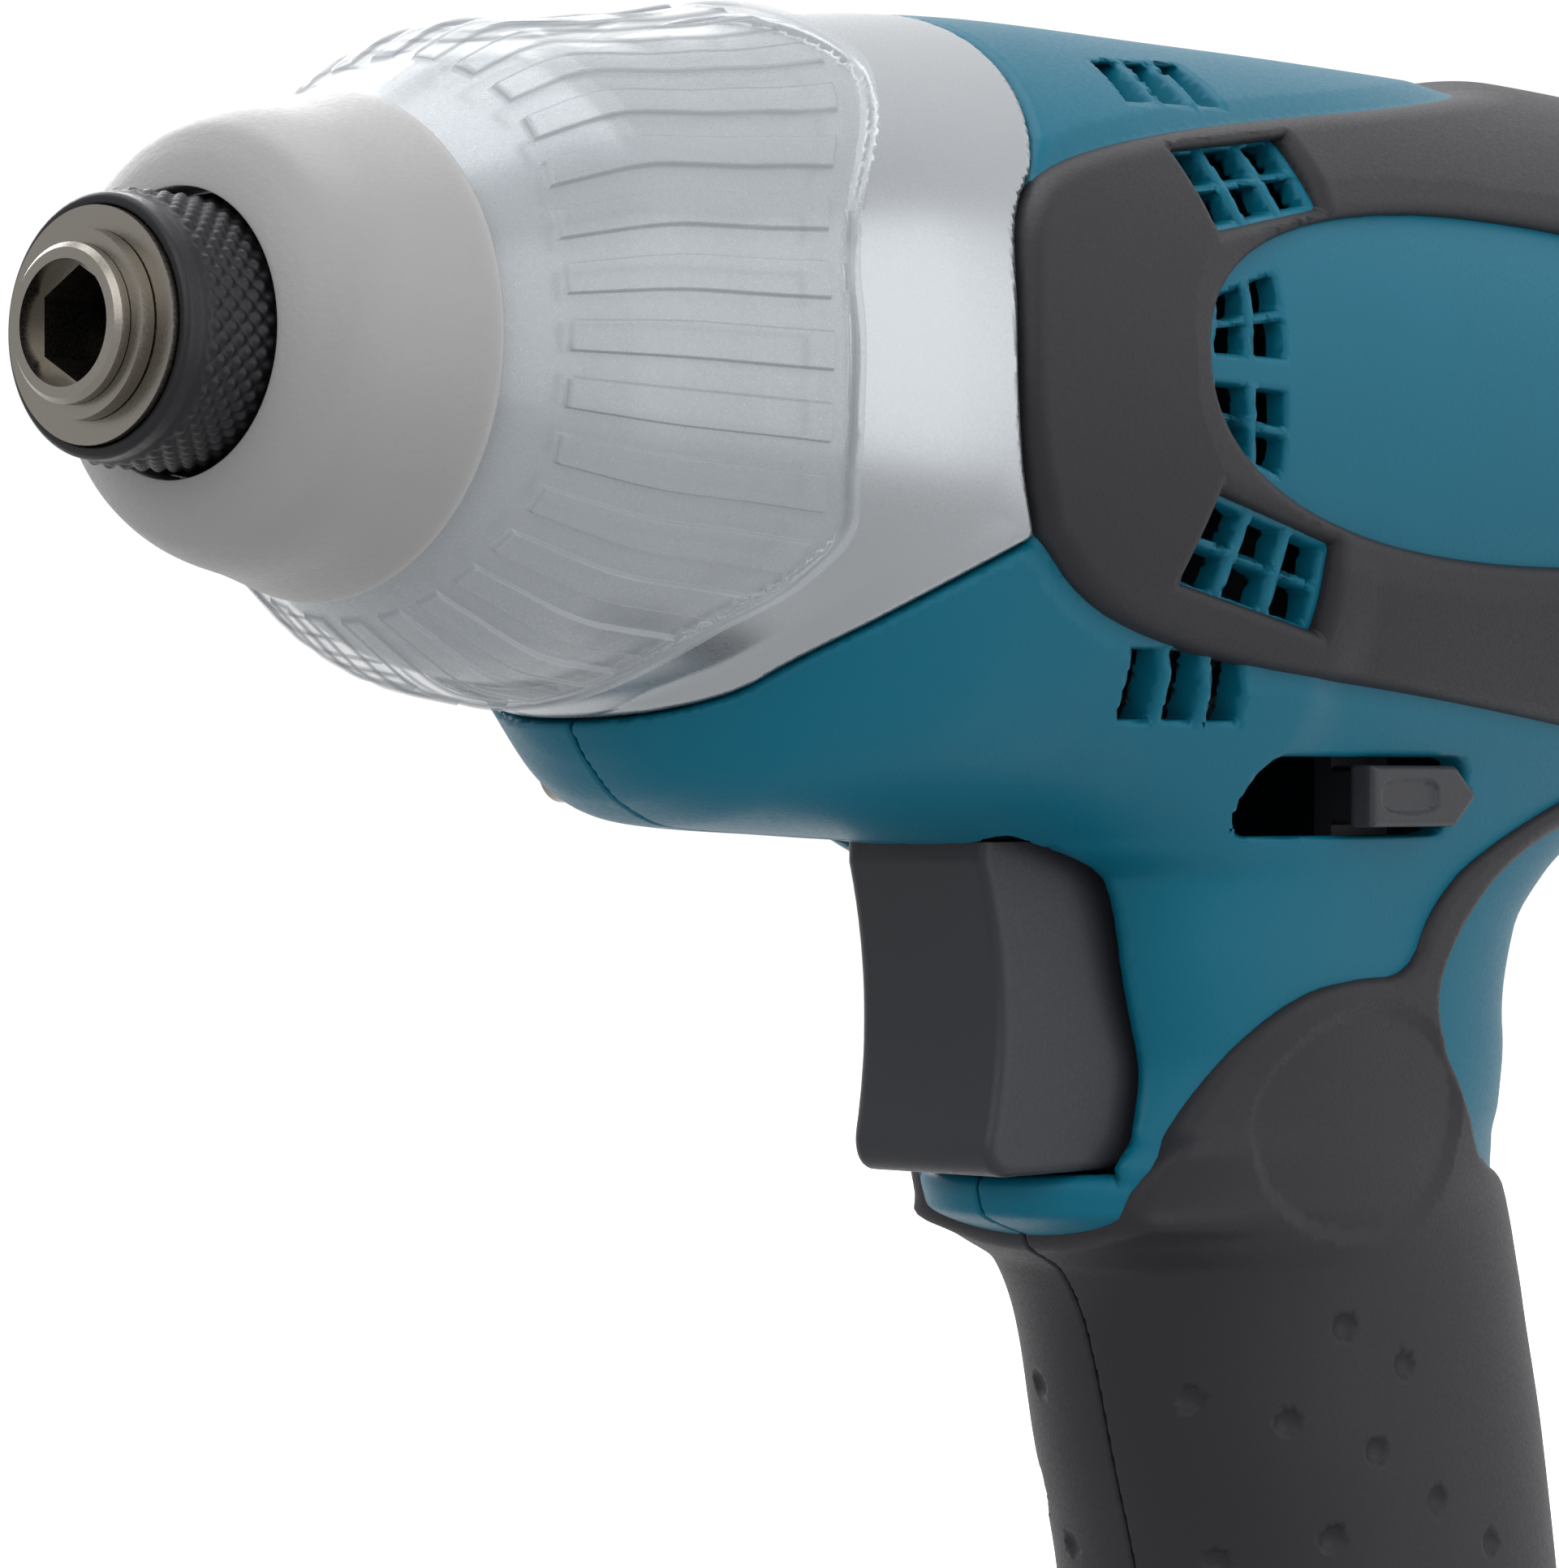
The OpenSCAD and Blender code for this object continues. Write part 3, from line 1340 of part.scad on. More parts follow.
// Ribs that carry the field, the rear bearing and the switch
module seats() {
    intersection() {
        union() {
            for (x = [stack_x + rib_t, stack_end_x - 2 * rib_t])
                tube(x, x + rib_t, (field_r + seat_gap) / cos(180 / mesh_fn), barrel_r - wall / 2, mesh_fn);
            tube(rear_bearing_x + rib_t / 2, rear_bearing_x + 3 * rib_t / 2,
                (rear_bearing_r + rubber_t + seat_gap) / cos(180 / hollow_fn), barrel_r - wall / 2, hollow_fn);
        }
        translate([0, -barrel_r, -rib_low])
            cube([2 * rear_x, 2 * barrel_r, 2 * barrel_r]);
    }
    for (x = [switch_x + rib_t, switch_x + switch_len - 2 * rib_t], side = [-1, 1])
        translate([x, side > 0 ? switch_w / 2 + seat_gap : -grip_w / 2, switch_z - switch_h])
            cube([rib_t, grip_w / 2 - switch_w / 2 - seat_gap, switch_h]);
}

// One row of posts for the screws, across the tool
module at_posts() {
    for (place = post_places)
        translate([place[0], 0, place[1]])
            rotate([90, 0, 0])
                children();
}

module shell(side) {
    intersection() {
        half(side, 2 * handle_drop);
        difference() {
            intersection() {
                union() {
                    difference() {
                        outer_form(0);
                        hollow();
                    }
                    intersection() {
                        outer_form(-wall / 2);
                        union() {
                            seats();
                            at_posts()
                                cylinder(r = post_r, h = 2 * barrel_r, center = true, $fn = boss_fn);
                        }
                    }
                }
                front_area(0);
            }
            if (side < 0)
                air_slots(barrel_r / 3);
            else
                mirror([0, 1, 0])
                    air_slots(barrel_r / 3);
            trigger_gate();
            lever_slot_cut(side);
            translate([grip_axis(handle_drop), 0, -handle_drop - over])
                cylinder(r = gland_r + seat_gap, h = foot_wall + 2 * over, $fn = mesh_fn);
            screw_holes();
        }
    }
}

module lever_slot_cut(side) {
    if (side < 0)
        lever_slot();
}

// Holes for the screws, with recesses for their heads on the right
module screw_holes() {
    for (i = [0 : len(post_places) - 1])
        translate([post_places[i][0], 0, post_places[i][1]])
            rotate([90, 0, 0]) {
                cylinder(r = screw_r + screw_hole_play, h = 2 * screw_bite + 2 * over, center = true,
                    $fn = boss_fn);
                translate([0, 0, -screw_bite - barrel_r])
                    cylinder(r = recess_r, h = barrel_r, $fn = boss_fn);
            }
}

module housing_screws() {
    color("#5a5c60")
        at_posts()
            union() {
                translate([0, 0, -screw_bite - over])
                    cylinder(r = screw_r, h = 2 * screw_bite + over, $fn = fine_fn);
                translate([0, 0, -screw_bite - head_h - seat_gap])
                    cylinder(r = head_r, h = head_h, $fn = fine_fn);
            }
}

module housing_left() {
    color("#17707f")
        shell(-1);
}

module housing_right() {
    color("#17707f")
        shell(1);
}

// Holes of the rubber: whole windows for its grilles, and the lower slots
module rubber_holes() {
    grille_windows();
    low_slots(barrel_r / 3);
}

// Rubber: the outer form made thicker, kept to its areas in side view
module rubber(side) {
    intersection() {
        half(side, 2 * handle_drop);
        difference() {
            intersection() {
                outer_form(overmould_t);
                union() {
                    difference() {
                        across([for (row = panel_shares) barrel_place(row)], 3 * barrel_r);
                        oval(0);
                    }
                    across([for (row = strip_shares) grip_place(row)], 3 * barrel_r);
                    across([for (row = back_shares) grip_place(row)], back_strip_w);
                }
                translate([-rear_x, -2 * barrel_r, -foot_trim_share * handle_drop])
                    cube([3 * rear_x, 4 * barrel_r, 2 * handle_drop]);
            }
            outer_form(0);
            if (side < 0)
                rubber_holes();
            else
                mirror([0, 1, 0])
                    rubber_holes();
            trigger_gate();
            lever_slot_cut(side);
            if (side > 0)
                screw_holes();
        }
    }
}

module overmould_left() {
    color("#3a3a3d")
        rubber(-1);
}

module overmould_right() {
    color("#3a3a3d")
        rubber(1);
}

echo(sleeve_spring_gap = coil_gap(shoulder_x - washer_x - washer_t - 2 * seat_gap, sleeve_spring_turns,
        sleeve_spring_wire_r),
    hammer_spring_gap = coil_gap(hammer_spring_len, hammer_spring_turns, hammer_spring_wire_r));

bumper();
case_cover();
hammer_case();
case_bush();
anvil_washer();
anvil();
sleeve();
sleeve_spring();
sleeve_washer();
retaining_ring();
detent_ball(-1);  // detent_ball_left
detent_ball(1);  // detent_ball_right
hammer();
cam_balls();
thrust_balls();
thrust_washer();
hammer_spring();
spindle();
planet_pins();
planet_gear(0);  // planet_gear_a
planet_gear(1);  // planet_gear_b
planet_gear(2);  // planet_gear_c
ring_gear();
bearing_box();
spindle_bearing();
rotor_shaft();
front_bearing();
fan();
armature_core();
armature_windings();
commutator();
rear_bearing();
bearing_rubber();
field_core();
field_coils();
air_baffle();
brush_holders();
carbon_brushes();
switch_body();
noise_capacitor();
terminal_block();
trigger();
reversing_lever();
cord_gland();
housing_left();
housing_right();
overmould_left();
overmould_right();
housing_screws();
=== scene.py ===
"""Outer surfaces and finishes of a mains impact driver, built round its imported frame."""

import json
from functools import lru_cache

import bpy
import numpy as np
from bpy.props import FloatProperty, FloatVectorProperty, IntProperty, PointerProperty
from bpy.types import Operator, Panel, PropertyGroup
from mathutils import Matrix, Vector


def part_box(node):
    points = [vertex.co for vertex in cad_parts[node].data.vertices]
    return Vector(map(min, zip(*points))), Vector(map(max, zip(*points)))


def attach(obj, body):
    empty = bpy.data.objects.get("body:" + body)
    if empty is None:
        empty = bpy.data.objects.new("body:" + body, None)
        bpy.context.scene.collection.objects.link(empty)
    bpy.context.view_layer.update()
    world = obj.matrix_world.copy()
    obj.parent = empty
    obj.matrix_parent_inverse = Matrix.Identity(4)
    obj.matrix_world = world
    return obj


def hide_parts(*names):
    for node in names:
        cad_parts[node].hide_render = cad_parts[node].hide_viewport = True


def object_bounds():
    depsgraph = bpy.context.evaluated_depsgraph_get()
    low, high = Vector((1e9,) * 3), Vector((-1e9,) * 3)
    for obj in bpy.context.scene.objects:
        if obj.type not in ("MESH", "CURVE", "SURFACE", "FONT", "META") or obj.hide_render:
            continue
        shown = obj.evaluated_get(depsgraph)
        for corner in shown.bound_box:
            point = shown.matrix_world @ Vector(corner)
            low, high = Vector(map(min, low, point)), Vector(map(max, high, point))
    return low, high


bl_info = {
    "name": "Impact Driver",
    "version": (1, 0, 0),
    "blender": (4, 5, 0),
    "location": "3D View > Sidebar > Driver",
    "description": "Makes the surfaces and finishes of a mains impact driver",
    "category": "Object",
}

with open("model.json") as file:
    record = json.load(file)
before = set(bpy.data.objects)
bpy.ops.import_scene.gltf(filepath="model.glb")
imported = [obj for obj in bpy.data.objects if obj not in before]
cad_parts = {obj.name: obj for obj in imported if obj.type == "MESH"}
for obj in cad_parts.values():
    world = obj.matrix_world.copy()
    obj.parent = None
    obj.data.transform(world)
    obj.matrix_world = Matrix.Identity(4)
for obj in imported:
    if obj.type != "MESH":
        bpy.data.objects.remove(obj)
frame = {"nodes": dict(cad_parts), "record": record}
CAD_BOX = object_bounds()
MM = 0.001
TINY = 1e-6
SMALL = 1e-3

# Outer forms, as shares of the sizes below.
BUMPER_SHARES = [(0, .56), (.03, .62), (.09, .71), (.2, .815), (.4, .885), (.67, .93), (1, 1)]
COVER_SHARES = [
    (0, .655), (.1, .715), (.22, .787), (.32, .848), (.4, .893), (.5, .927), (.62, .944), (.8, .965),
    (1, 1)]
BARREL_SHARES = [
    (0, .735), (.06, .765), (.13, .832), (.19, .87), (.25, .902), (.33, .93), (.46, .952), (.6, .975),
    (.76, .993), (.87, 1), (1, 1)]
# Chin sections: share of the barrel's length, of the chin's depth, of the barrel's radius.
CHIN_SHARES = [
    (.045, .72, .25), (.06, .82, .36), (.085, .91, .49), (.12, .96, .62), (.2, .98, .75), (.32, 1, .8),
    (.45, 1, .8)]
# Handle sections: share of the drop, reach forward and back of the axis, half width, squareness.
GRIP_SHARES = [
    (.1, .93, 1.19, 1.46, 3.4), (.16, .93, 1.14, 1.36, 3.4), (.2, .86, 1.03, 1.26, 3.4),
    (.24, .74, .82, 1.16, 3.2), (.262, .66, .7, 1.11, 3.2), (.295, .65, .59, 1.06, 3.2),
    (.355, .66, .54, 1, 3), (.4, .76, .54, .98, 2.5), (.422, .86, .54, .98, 2.2),
    (.445, .855, .53, .98, 2.1), (.463, .73, .525, .98, 2.1), (.483, .63, .52, .98, 2.1),
    (.52, .58, .52, .99, 2.1), (.6, .545, .52, 1, 2.2), (.67, .515, .515, 1.01, 2.2),
    (.76, .505, .505, 1.03, 2.2), (.86, .51, .51, 1.05, 2.4), (.95, .55, .54, 1.14, 2.8),
    (.985, .55, .54, 1.14, 2.8), (1, .52, .51, 1.08, 2.8)]
# How far the grip's middle stands behind its straight axis: share of the drop, share of the grip's depth.
BOW_SHARES = [(0, 0), (.3, 0), (.45, .056), (.68, .056), (.9, 0), (1, 0)]
# Side-view outlines: shares of the barrel's length and radius, or of the drop and the grip's depth.
CORNER_SHARE = (.196, -.37)
FRONT_SHARES = [
    (.3, 1.3), (.257, .82), (.213, .47), (.186, .37), (.172, .25), (.165, 0), (.174, -.2),
    CORNER_SHARE, (.142, -.5), (.094, -.64), (.076, -.74), (.02, -.81), (-.1, -.83), (-.1, -5),
    (1.1, -5), (1.1, 1.3)]
PANEL_SHARES = [
    (.213, .47), (.186, .37), (.172, .25), (.165, 0), (.174, -.2), CORNER_SHARE, (.24, -.51),
    (.3, -.59), (.39, -.65), (.57, -.71), (.75, -.79), (.86, -.83), (1.1, -.85), (1.1, 1.2), (.84, 1.2),
    (.8, .98), (.63, .83), (.39, .66), (.28, .56)]
STRIP_SHARES = [
    (.152, 1.12), (.203, .6), (.247, .2), (.28, .06), (.318, 0), (.318, -.18), (.325, -.32),
    (.345, -.44), (.375, -.53), (.41, -.62), (.435, -.68), (.46, -.69), (.5, -.7), (.5, -1.1),
    (1.02, -1.1), (1.02, 1.2), (.474, 1.2), (.44, .28), (.403, .2), (.34, .07), (.297, .14),
    (.251, .32), (.223, .62), (.213, 1.12)]
BACK_SHARES = [(.205, .9), (.244, .7), (.303, .42), (.363, .34), (.453, .36), (.453, .8), (.205, 1.3)]
# Air grilles: corners from the top front round by the rear, columns, rows. The first two lie in windows of
# the rubber.
GRILLES = [
    ([(.317, .545), (.433, .631), (.433, .458), (.326, .356)], 3, 2),
    ([(.317, -.247), (.427, -.349), (.428, -.554), (.303, -.452)], 3, 2),
    ([(.318, .205), (.377, .295), (.376, .064), (.308, .064)], 2, 2),
    ([(.308, .01), (.376, .01), (.377, -.212), (.319, -.147)], 2, 2),
    ([(.329, .8), (.427, .846), (.413, .692), (.315, .66)], 3, 1)]
WINDOWS = 2
# Half the width of a grille's bar, as a share of the panes' spacing.
BAR_SHARE = .12
# Rear edge of the clear cover: angle from the top in degrees, share of the barrel's length.
COVER_EDGE = [
    (0, .142), (34, .14), (45, .123), (59, .091), (68, .073), (80, .063), (93, .063), (109, .069),
    (118, .077), (128, .064), (140, .034), (154, .018), (167, .011), (180, .009)]


def linear(code):
    """Linear colour of an sRGB hex code: each channel through the standard's curve."""
    channels = np.array([int(code[i:i + 2], 16) for i in (0, 2, 4)]) / 255
    low = channels / 12.92
    high = ((channels + .055) / 1.055) ** 2.4
    return tuple(float(v) for v in np.where(channels <= .04045, low, high)) + (1.0,)


def length(name, description, millimetres):
    """A length that a user may change."""
    return FloatProperty(name=name, description=description, default=millimetres * MM, unit="LENGTH",
                         precision=5)


def tint(name, description, code):
    """A colour that a user may change."""
    return FloatVectorProperty(name=name, description=description, size=4, subtype="COLOR", min=0, max=1,
                               default=linear(code))


def node_size(node, corner, axis):
    """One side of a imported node's box, in millimetres."""
    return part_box(node)[corner][axis] / MM


# Where the barrel's form starts, in millimetres.
BARREL_START = 40


class DriverSizes(PropertyGroup):
    """Sizes of the outer forms."""

    barrel_x: length("Barrel start", "From the socket's mouth to the barrel's form", BARREL_START)
    barrel_len: length("Barrel length", "Length of the barrel's form",
                       node_size("housing_left", 1, 0) - BARREL_START)
    barrel_r: length("Barrel radius", "Largest radius of the barrel", 31.2)
    rear_round: length("Rear rounding", "Rounding of the barrel's rear end", 11)
    wall: length("Wall", "Wall of the two halves", 2.6)
    seam: length("Seam", "Gap where pieces of the housing meet", .1)
    rubber_t: length("Rubber", "How far the rubber stands out of the housing", .9)
    chin_depth: length("Chin depth", "Depth of the chin below the axis", 33)
    handle_drop: length("Handle drop", "From the axis to the foot", 138)
    grip_x: length("Grip axis", "Where the grip's axis meets the barrel's axis", 119.2)
    grip_d: length("Grip depth", "Depth of the grip, front to back", 46)
    grip_w: length("Grip width", "Width of the grip", 33.4)
    grip_lean: FloatProperty(name="Grip lean", description="Lean of the grip's axis", subtype="ANGLE",
                             default=np.radians(10.5))
    cover_x: length("Cover start", "Front edge of the clear cover", node_size("case_cover", 0, 0))
    cover_len: length("Cover nose", "Length of the cover's cone", 24.1)
    cover_r: length("Cover radius", "Radius at the end of the cover's cone", 24.2)
    cover_t: length("Cover wall", "Wall of the clear cover", 1.2)
    rib_h: length("Rib height", "Height of the cover's ribs", .45)
    rib_count: IntProperty(name="Ribs", description="Ribs round the cover", default=32, min=12, max=60)
    knurl_pitch: length("Knurl pitch", "Spacing of the sleeve's knurl", 1.4)


class DriverColours(PropertyGroup):
    """Colours of the finishes."""

    teal: tint("Teal", "Moulded housing", "045A70")
    rubber: tint("Rubber", "Overmould", "27272B")
    bumper: tint("Bumper", "Nose bumper", "8B8B8B")
    silver: tint("Silver", "Lacquered hammer case", "A9ADB1")
    clear: tint("Clear", "Haze of the clear cover", "B9BFC4")
    # Painted shade: a darker grey that the clear finish lays along the flanks of the cover's ribs, and as
    # painted shadow on a thin line at its lip.
    flank: tint("Flank", "Flanks of the cover's ribs", "84898E")
    sleeve: tint("Sleeve", "Blackened sleeve", "232326")
    trigger: tint("Trigger", "Trigger and lever", "2B2C31")
    steel: tint("Steel", "Ground steel", "8F8A83")
    ball: tint("Ball", "Lapped balls", "C9CACB")
    bronze: tint("Bronze", "Sintered bronze", "A67C45")
    copper: tint("Copper", "Enamelled copper", "A4502C")
    pale: tint("Pale", "Pale acetal", "D8D4C6")
    carbon: tint("Carbon", "Pressed carbon", "1C1C1D")
    stack: tint("Stack", "Stacked sheets", "6C7278")


def mm(name):
    """A size of the property group, in millimetres."""
    return getattr(bpy.context.scene.driver_sizes, name) / MM


def colour(name):
    """A colour of the property group."""
    return tuple(getattr(bpy.context.scene.driver_colours, name))


# Curves, areas and rounded solids.

def curve(table):
    """Smooth curve through a table that never swings past its points: cubic pieces between them, whose slope
    at each point is the harmonic mean of the slopes on its two sides."""
    x, y = np.array(table, float).T
    step = np.diff(x)
    rise = np.diff(y) / step
    slope = np.concatenate([rise[:1], np.zeros(len(x) - 2), rise[-1:]])
    same = rise[:-1] * rise[1:] > 0
    slope[1:-1][same] = (2 * rise[:-1] * rise[1:])[same] / (rise[:-1] + rise[1:])[same]

    def at(q):
        q = np.clip(q, x[0], x[-1])
        k = np.clip(np.searchsorted(x, q, side="right") - 1, 0, len(step) - 1)
        t = (q - x[k]) / step[k]
        return ((1 + 2 * t) * (1 - t) ** 2 * y[k] + t * (1 - t) ** 2 * step[k] * slope[k]
                + t * t * (3 - 2 * t) * y[k + 1] + t * t * (t - 1) * step[k] * slope[k + 1])

    return at


def steepness(shape, at, reach=.5):
    """Slope of a curve, from a step to both sides."""
    return (shape(at + reach) - shape(at - reach)) / (2 * reach)


def overlap(*sides):
    """Overlap of solids with sharp edges: the largest of their distances."""
    return np.maximum.reduce(np.broadcast_arrays(*sides))


def rounded_max(a, b, r):
    """Overlap of two solids with its edge rounded: a quarter circle where both lie within r of their
    surfaces."""
    return np.minimum(np.maximum(a, b), -r) + np.hypot(np.maximum(a + r, 0), np.maximum(b + r, 0))


def blend_min(a, b, k):
    """Union of two solids with a fillet: their smaller distance, lowered by a parabola where the two are
    within k."""
    h = np.maximum(k - np.abs(a - b), 0) / k
    return np.minimum(a, b) - h * h * k / 4


def oval_distance(u, v, wide, high, power):
    """Distance to a rounded square: how far the power mean of the two shares of reach passes one, over its
    slope."""
    a = np.maximum(np.abs(u) / wide, TINY)
    b = np.maximum(np.abs(v) / high, TINY)
    mean = np.maximum((a ** power + b ** power) ** (1 / power), SMALL)
    slope = mean ** (1 - power) * np.hypot(a ** (power - 1) / wide, b ** (power - 1) / high)
    return (mean - 1) / slope


def quad_distance(corners, x, z):
    """Distance to a four-cornered pane: the largest distance past any of its four edges."""
    out = -np.inf
    for a, b in zip(corners, corners[1:] + corners[:1]):
        edge = np.subtract(b, a)
        past = ((z - a[1]) * edge[0] - (x - a[0]) * edge[1]) / np.hypot(*edge)
        out = np.maximum(out, past)
    return out


def cut_corners(points, keep=(), rounds=2, share=.25):
    """Rounder outline: each corner becomes two points a share along its edges, and kept corners stay."""
    for turn in range(rounds):
        made = []
        for k, p in enumerate(points):
            before, after = points[k - 1], points[(k + 1) % len(points)]
            made.append(np.add(np.multiply(p, 1 - share), np.multiply(before, share)))
            if any(np.allclose(p, q) for q in keep):
                made.append(np.array(p))
            made.append(np.add(np.multiply(p, 1 - share), np.multiply(after, share)))
        points = made
    return np.array(points, float)


def area(points, step=.3, low=(20, -150), high=(192, 40)):
    """Side-view area inside an outline: signed distances to it on a square grid, read back between the four
    nearest grid points."""
    nx, nz = (int((high[k] - low[k]) / step) + 2 for k in (0, 1))
    x = low[0] + step * np.arange(nx)[:, None]
    z = low[1] + step * np.arange(nz)[None, :]
    nearest = np.full((nx, nz), np.inf)
    inside = np.zeros((nx, nz), bool)
    for a, b in zip(points, np.roll(points, -1, 0)):
        edge = b - a
        along = np.clip(((x - a[0]) * edge[0] + (z - a[1]) * edge[1]) / (edge @ edge), 0, 1)
        nearest = np.minimum(nearest, (x - a[0] - along * edge[0]) ** 2 + (z - a[1] - along * edge[1]) ** 2)
        if a[1] != b[1]:
            inside ^= ((a[1] > z) != (b[1] > z)) & (x < a[0] + (z - a[1]) * edge[0] / edge[1])
    grid = np.where(inside, -1, 1) * np.sqrt(nearest)

    def at(qx, qz):
        u = np.clip((qx - low[0]) / step, 0, nx - 1 - SMALL)
        v = np.clip((qz - low[1]) / step, 0, nz - 1 - SMALL)
        i, j = u.astype(int), v.astype(int)
        s, t = u - i, v - j
        return ((grid[i, j] * (1 - s) + grid[i + 1, j] * s) * (1 - t)
                + (grid[i, j + 1] * (1 - s) + grid[i + 1, j + 1] * s) * t)

    return at


# Sizes and places of the housing, in millimetres behind the socket's mouth and above the drive axis.
# Fillets, roundings and sections of the outer form.
CHIN_FILLET = 4
HANDLE_FILLET = 7
FOOT_ROUND = 2
CHIN_ROUND = 1.5
CHIN_SQUARE = 2.7
# How many times shorter the chin's sections are above the axis than below it.
CHIN_SHORTENING = 5
# Where the handle's sections start, as a share of its drop.
HANDLE_TOP_SHARE = .1
# Edges of the two halves, and the ledge round the rubber panel.
LEDGE_RUN = 1.6
LEDGE_DEPTH = .5
FRONT_GAP = .15
FRONT_ROUND = .6
GATE_ROUND = 1.6
HOLE_ROUND = .45
SEAM_ROUND = .3
# Leaning slots under the rubber panel.
SLOT_COUNT = 3
SLOT_X = 84.2
SLOT_Z = -21.4
SLOT_PITCH = 4.7
SLOT_HALF_W = 1.7
SLOT_HALF_H = 2.5
SLOT_LEAN = .3
# Slot of the reversing lever.
LEVER_Z = -29.6
LEVER_SLOT_X = 115.55
LEVER_SLOT_RUN = 11.7
LEVER_SLOT_R = 3.05
# Opening that the trigger slides in, and the slot over it.
TRIGGER_Z = -46.4
GATE_HALF_W = 9
GATE_HALF_H = 12.1
GATE_REAR = 111
GATE_TOP_X = 98
GATE_TOP_RUN = 13
GATE_TOP_Z = -36.3
GATE_TOP_HALF_H = 5
# Oval in the rubber panel.
OVAL_SHARE = (.615, .06)
OVAL_LENGTH_SHARE = .31
OVAL_HALF_H = 13.4
OVAL_SQUARE = 2.2
# Hole in the foot, and the screws' holes.
FOOT_HOLE_X = 144.8
FOOT_HOLE_R = 9.3
FOOT_HOLE_TOP = -130
SCREW_HOLE_R = 3
SCREW_SEAT_Y = 8.5
SCREWS = [(58.5, -27.4), (84, 24), (85, -28.6), (175, 19.5), (172.5, -20.5), (147.6, -45), (119.8, -85.5),
          (147.5, -98), (128.9, -126), (161.5, -126)]
# Edges of the rubber, its foot, how deep it sits in the housing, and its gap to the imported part's box.
PANEL_GAP = .2
SPINE_HALF_W = 6.5
SPINE_ROUND = 1
RUBBER_FOOT = -131.8
RUBBER_ROUND = 1.2
RUBBER_CUT_ROUND = .4
RUBBER_SUNK = 1.6
BOX_GAP = .05
# How the panel thins towards its oval: least share of its thickness, and share gained per millimetre.
BEVEL_LEAST_SHARE = .4
BEVEL_GAIN_SHARE = .2
# Dish for the thumb, and round dimples in the grip.
DISH_X = 122
DISH_Z = -55.4
DISH_HALF_L = 14.2
DISH_HALF_H = 9.6
DISH_SQUARE = 2
DISH_RIM = 1.3
DISH_DEPTH = .5
DIMPLE_R = 1.5
DIMPLE_DEPTH = .6
DIMPLES = [(121.2, -71.4), (127.5, -74.9), (112, -76.7), (117.5, -78.9), (125, -81.6), (131.7, -86.2),
           (122, -88.4), (139.1, -90.4), (116, -90), (128.6, -95), (119.5, -98.6), (136.5, -99.2)]
# How far out the grip's side is looked for, as a share of its half width, and in how many steps.
SIDE_SEARCH_SHARE = 1.5
SIDE_SEARCH_STEPS = 600


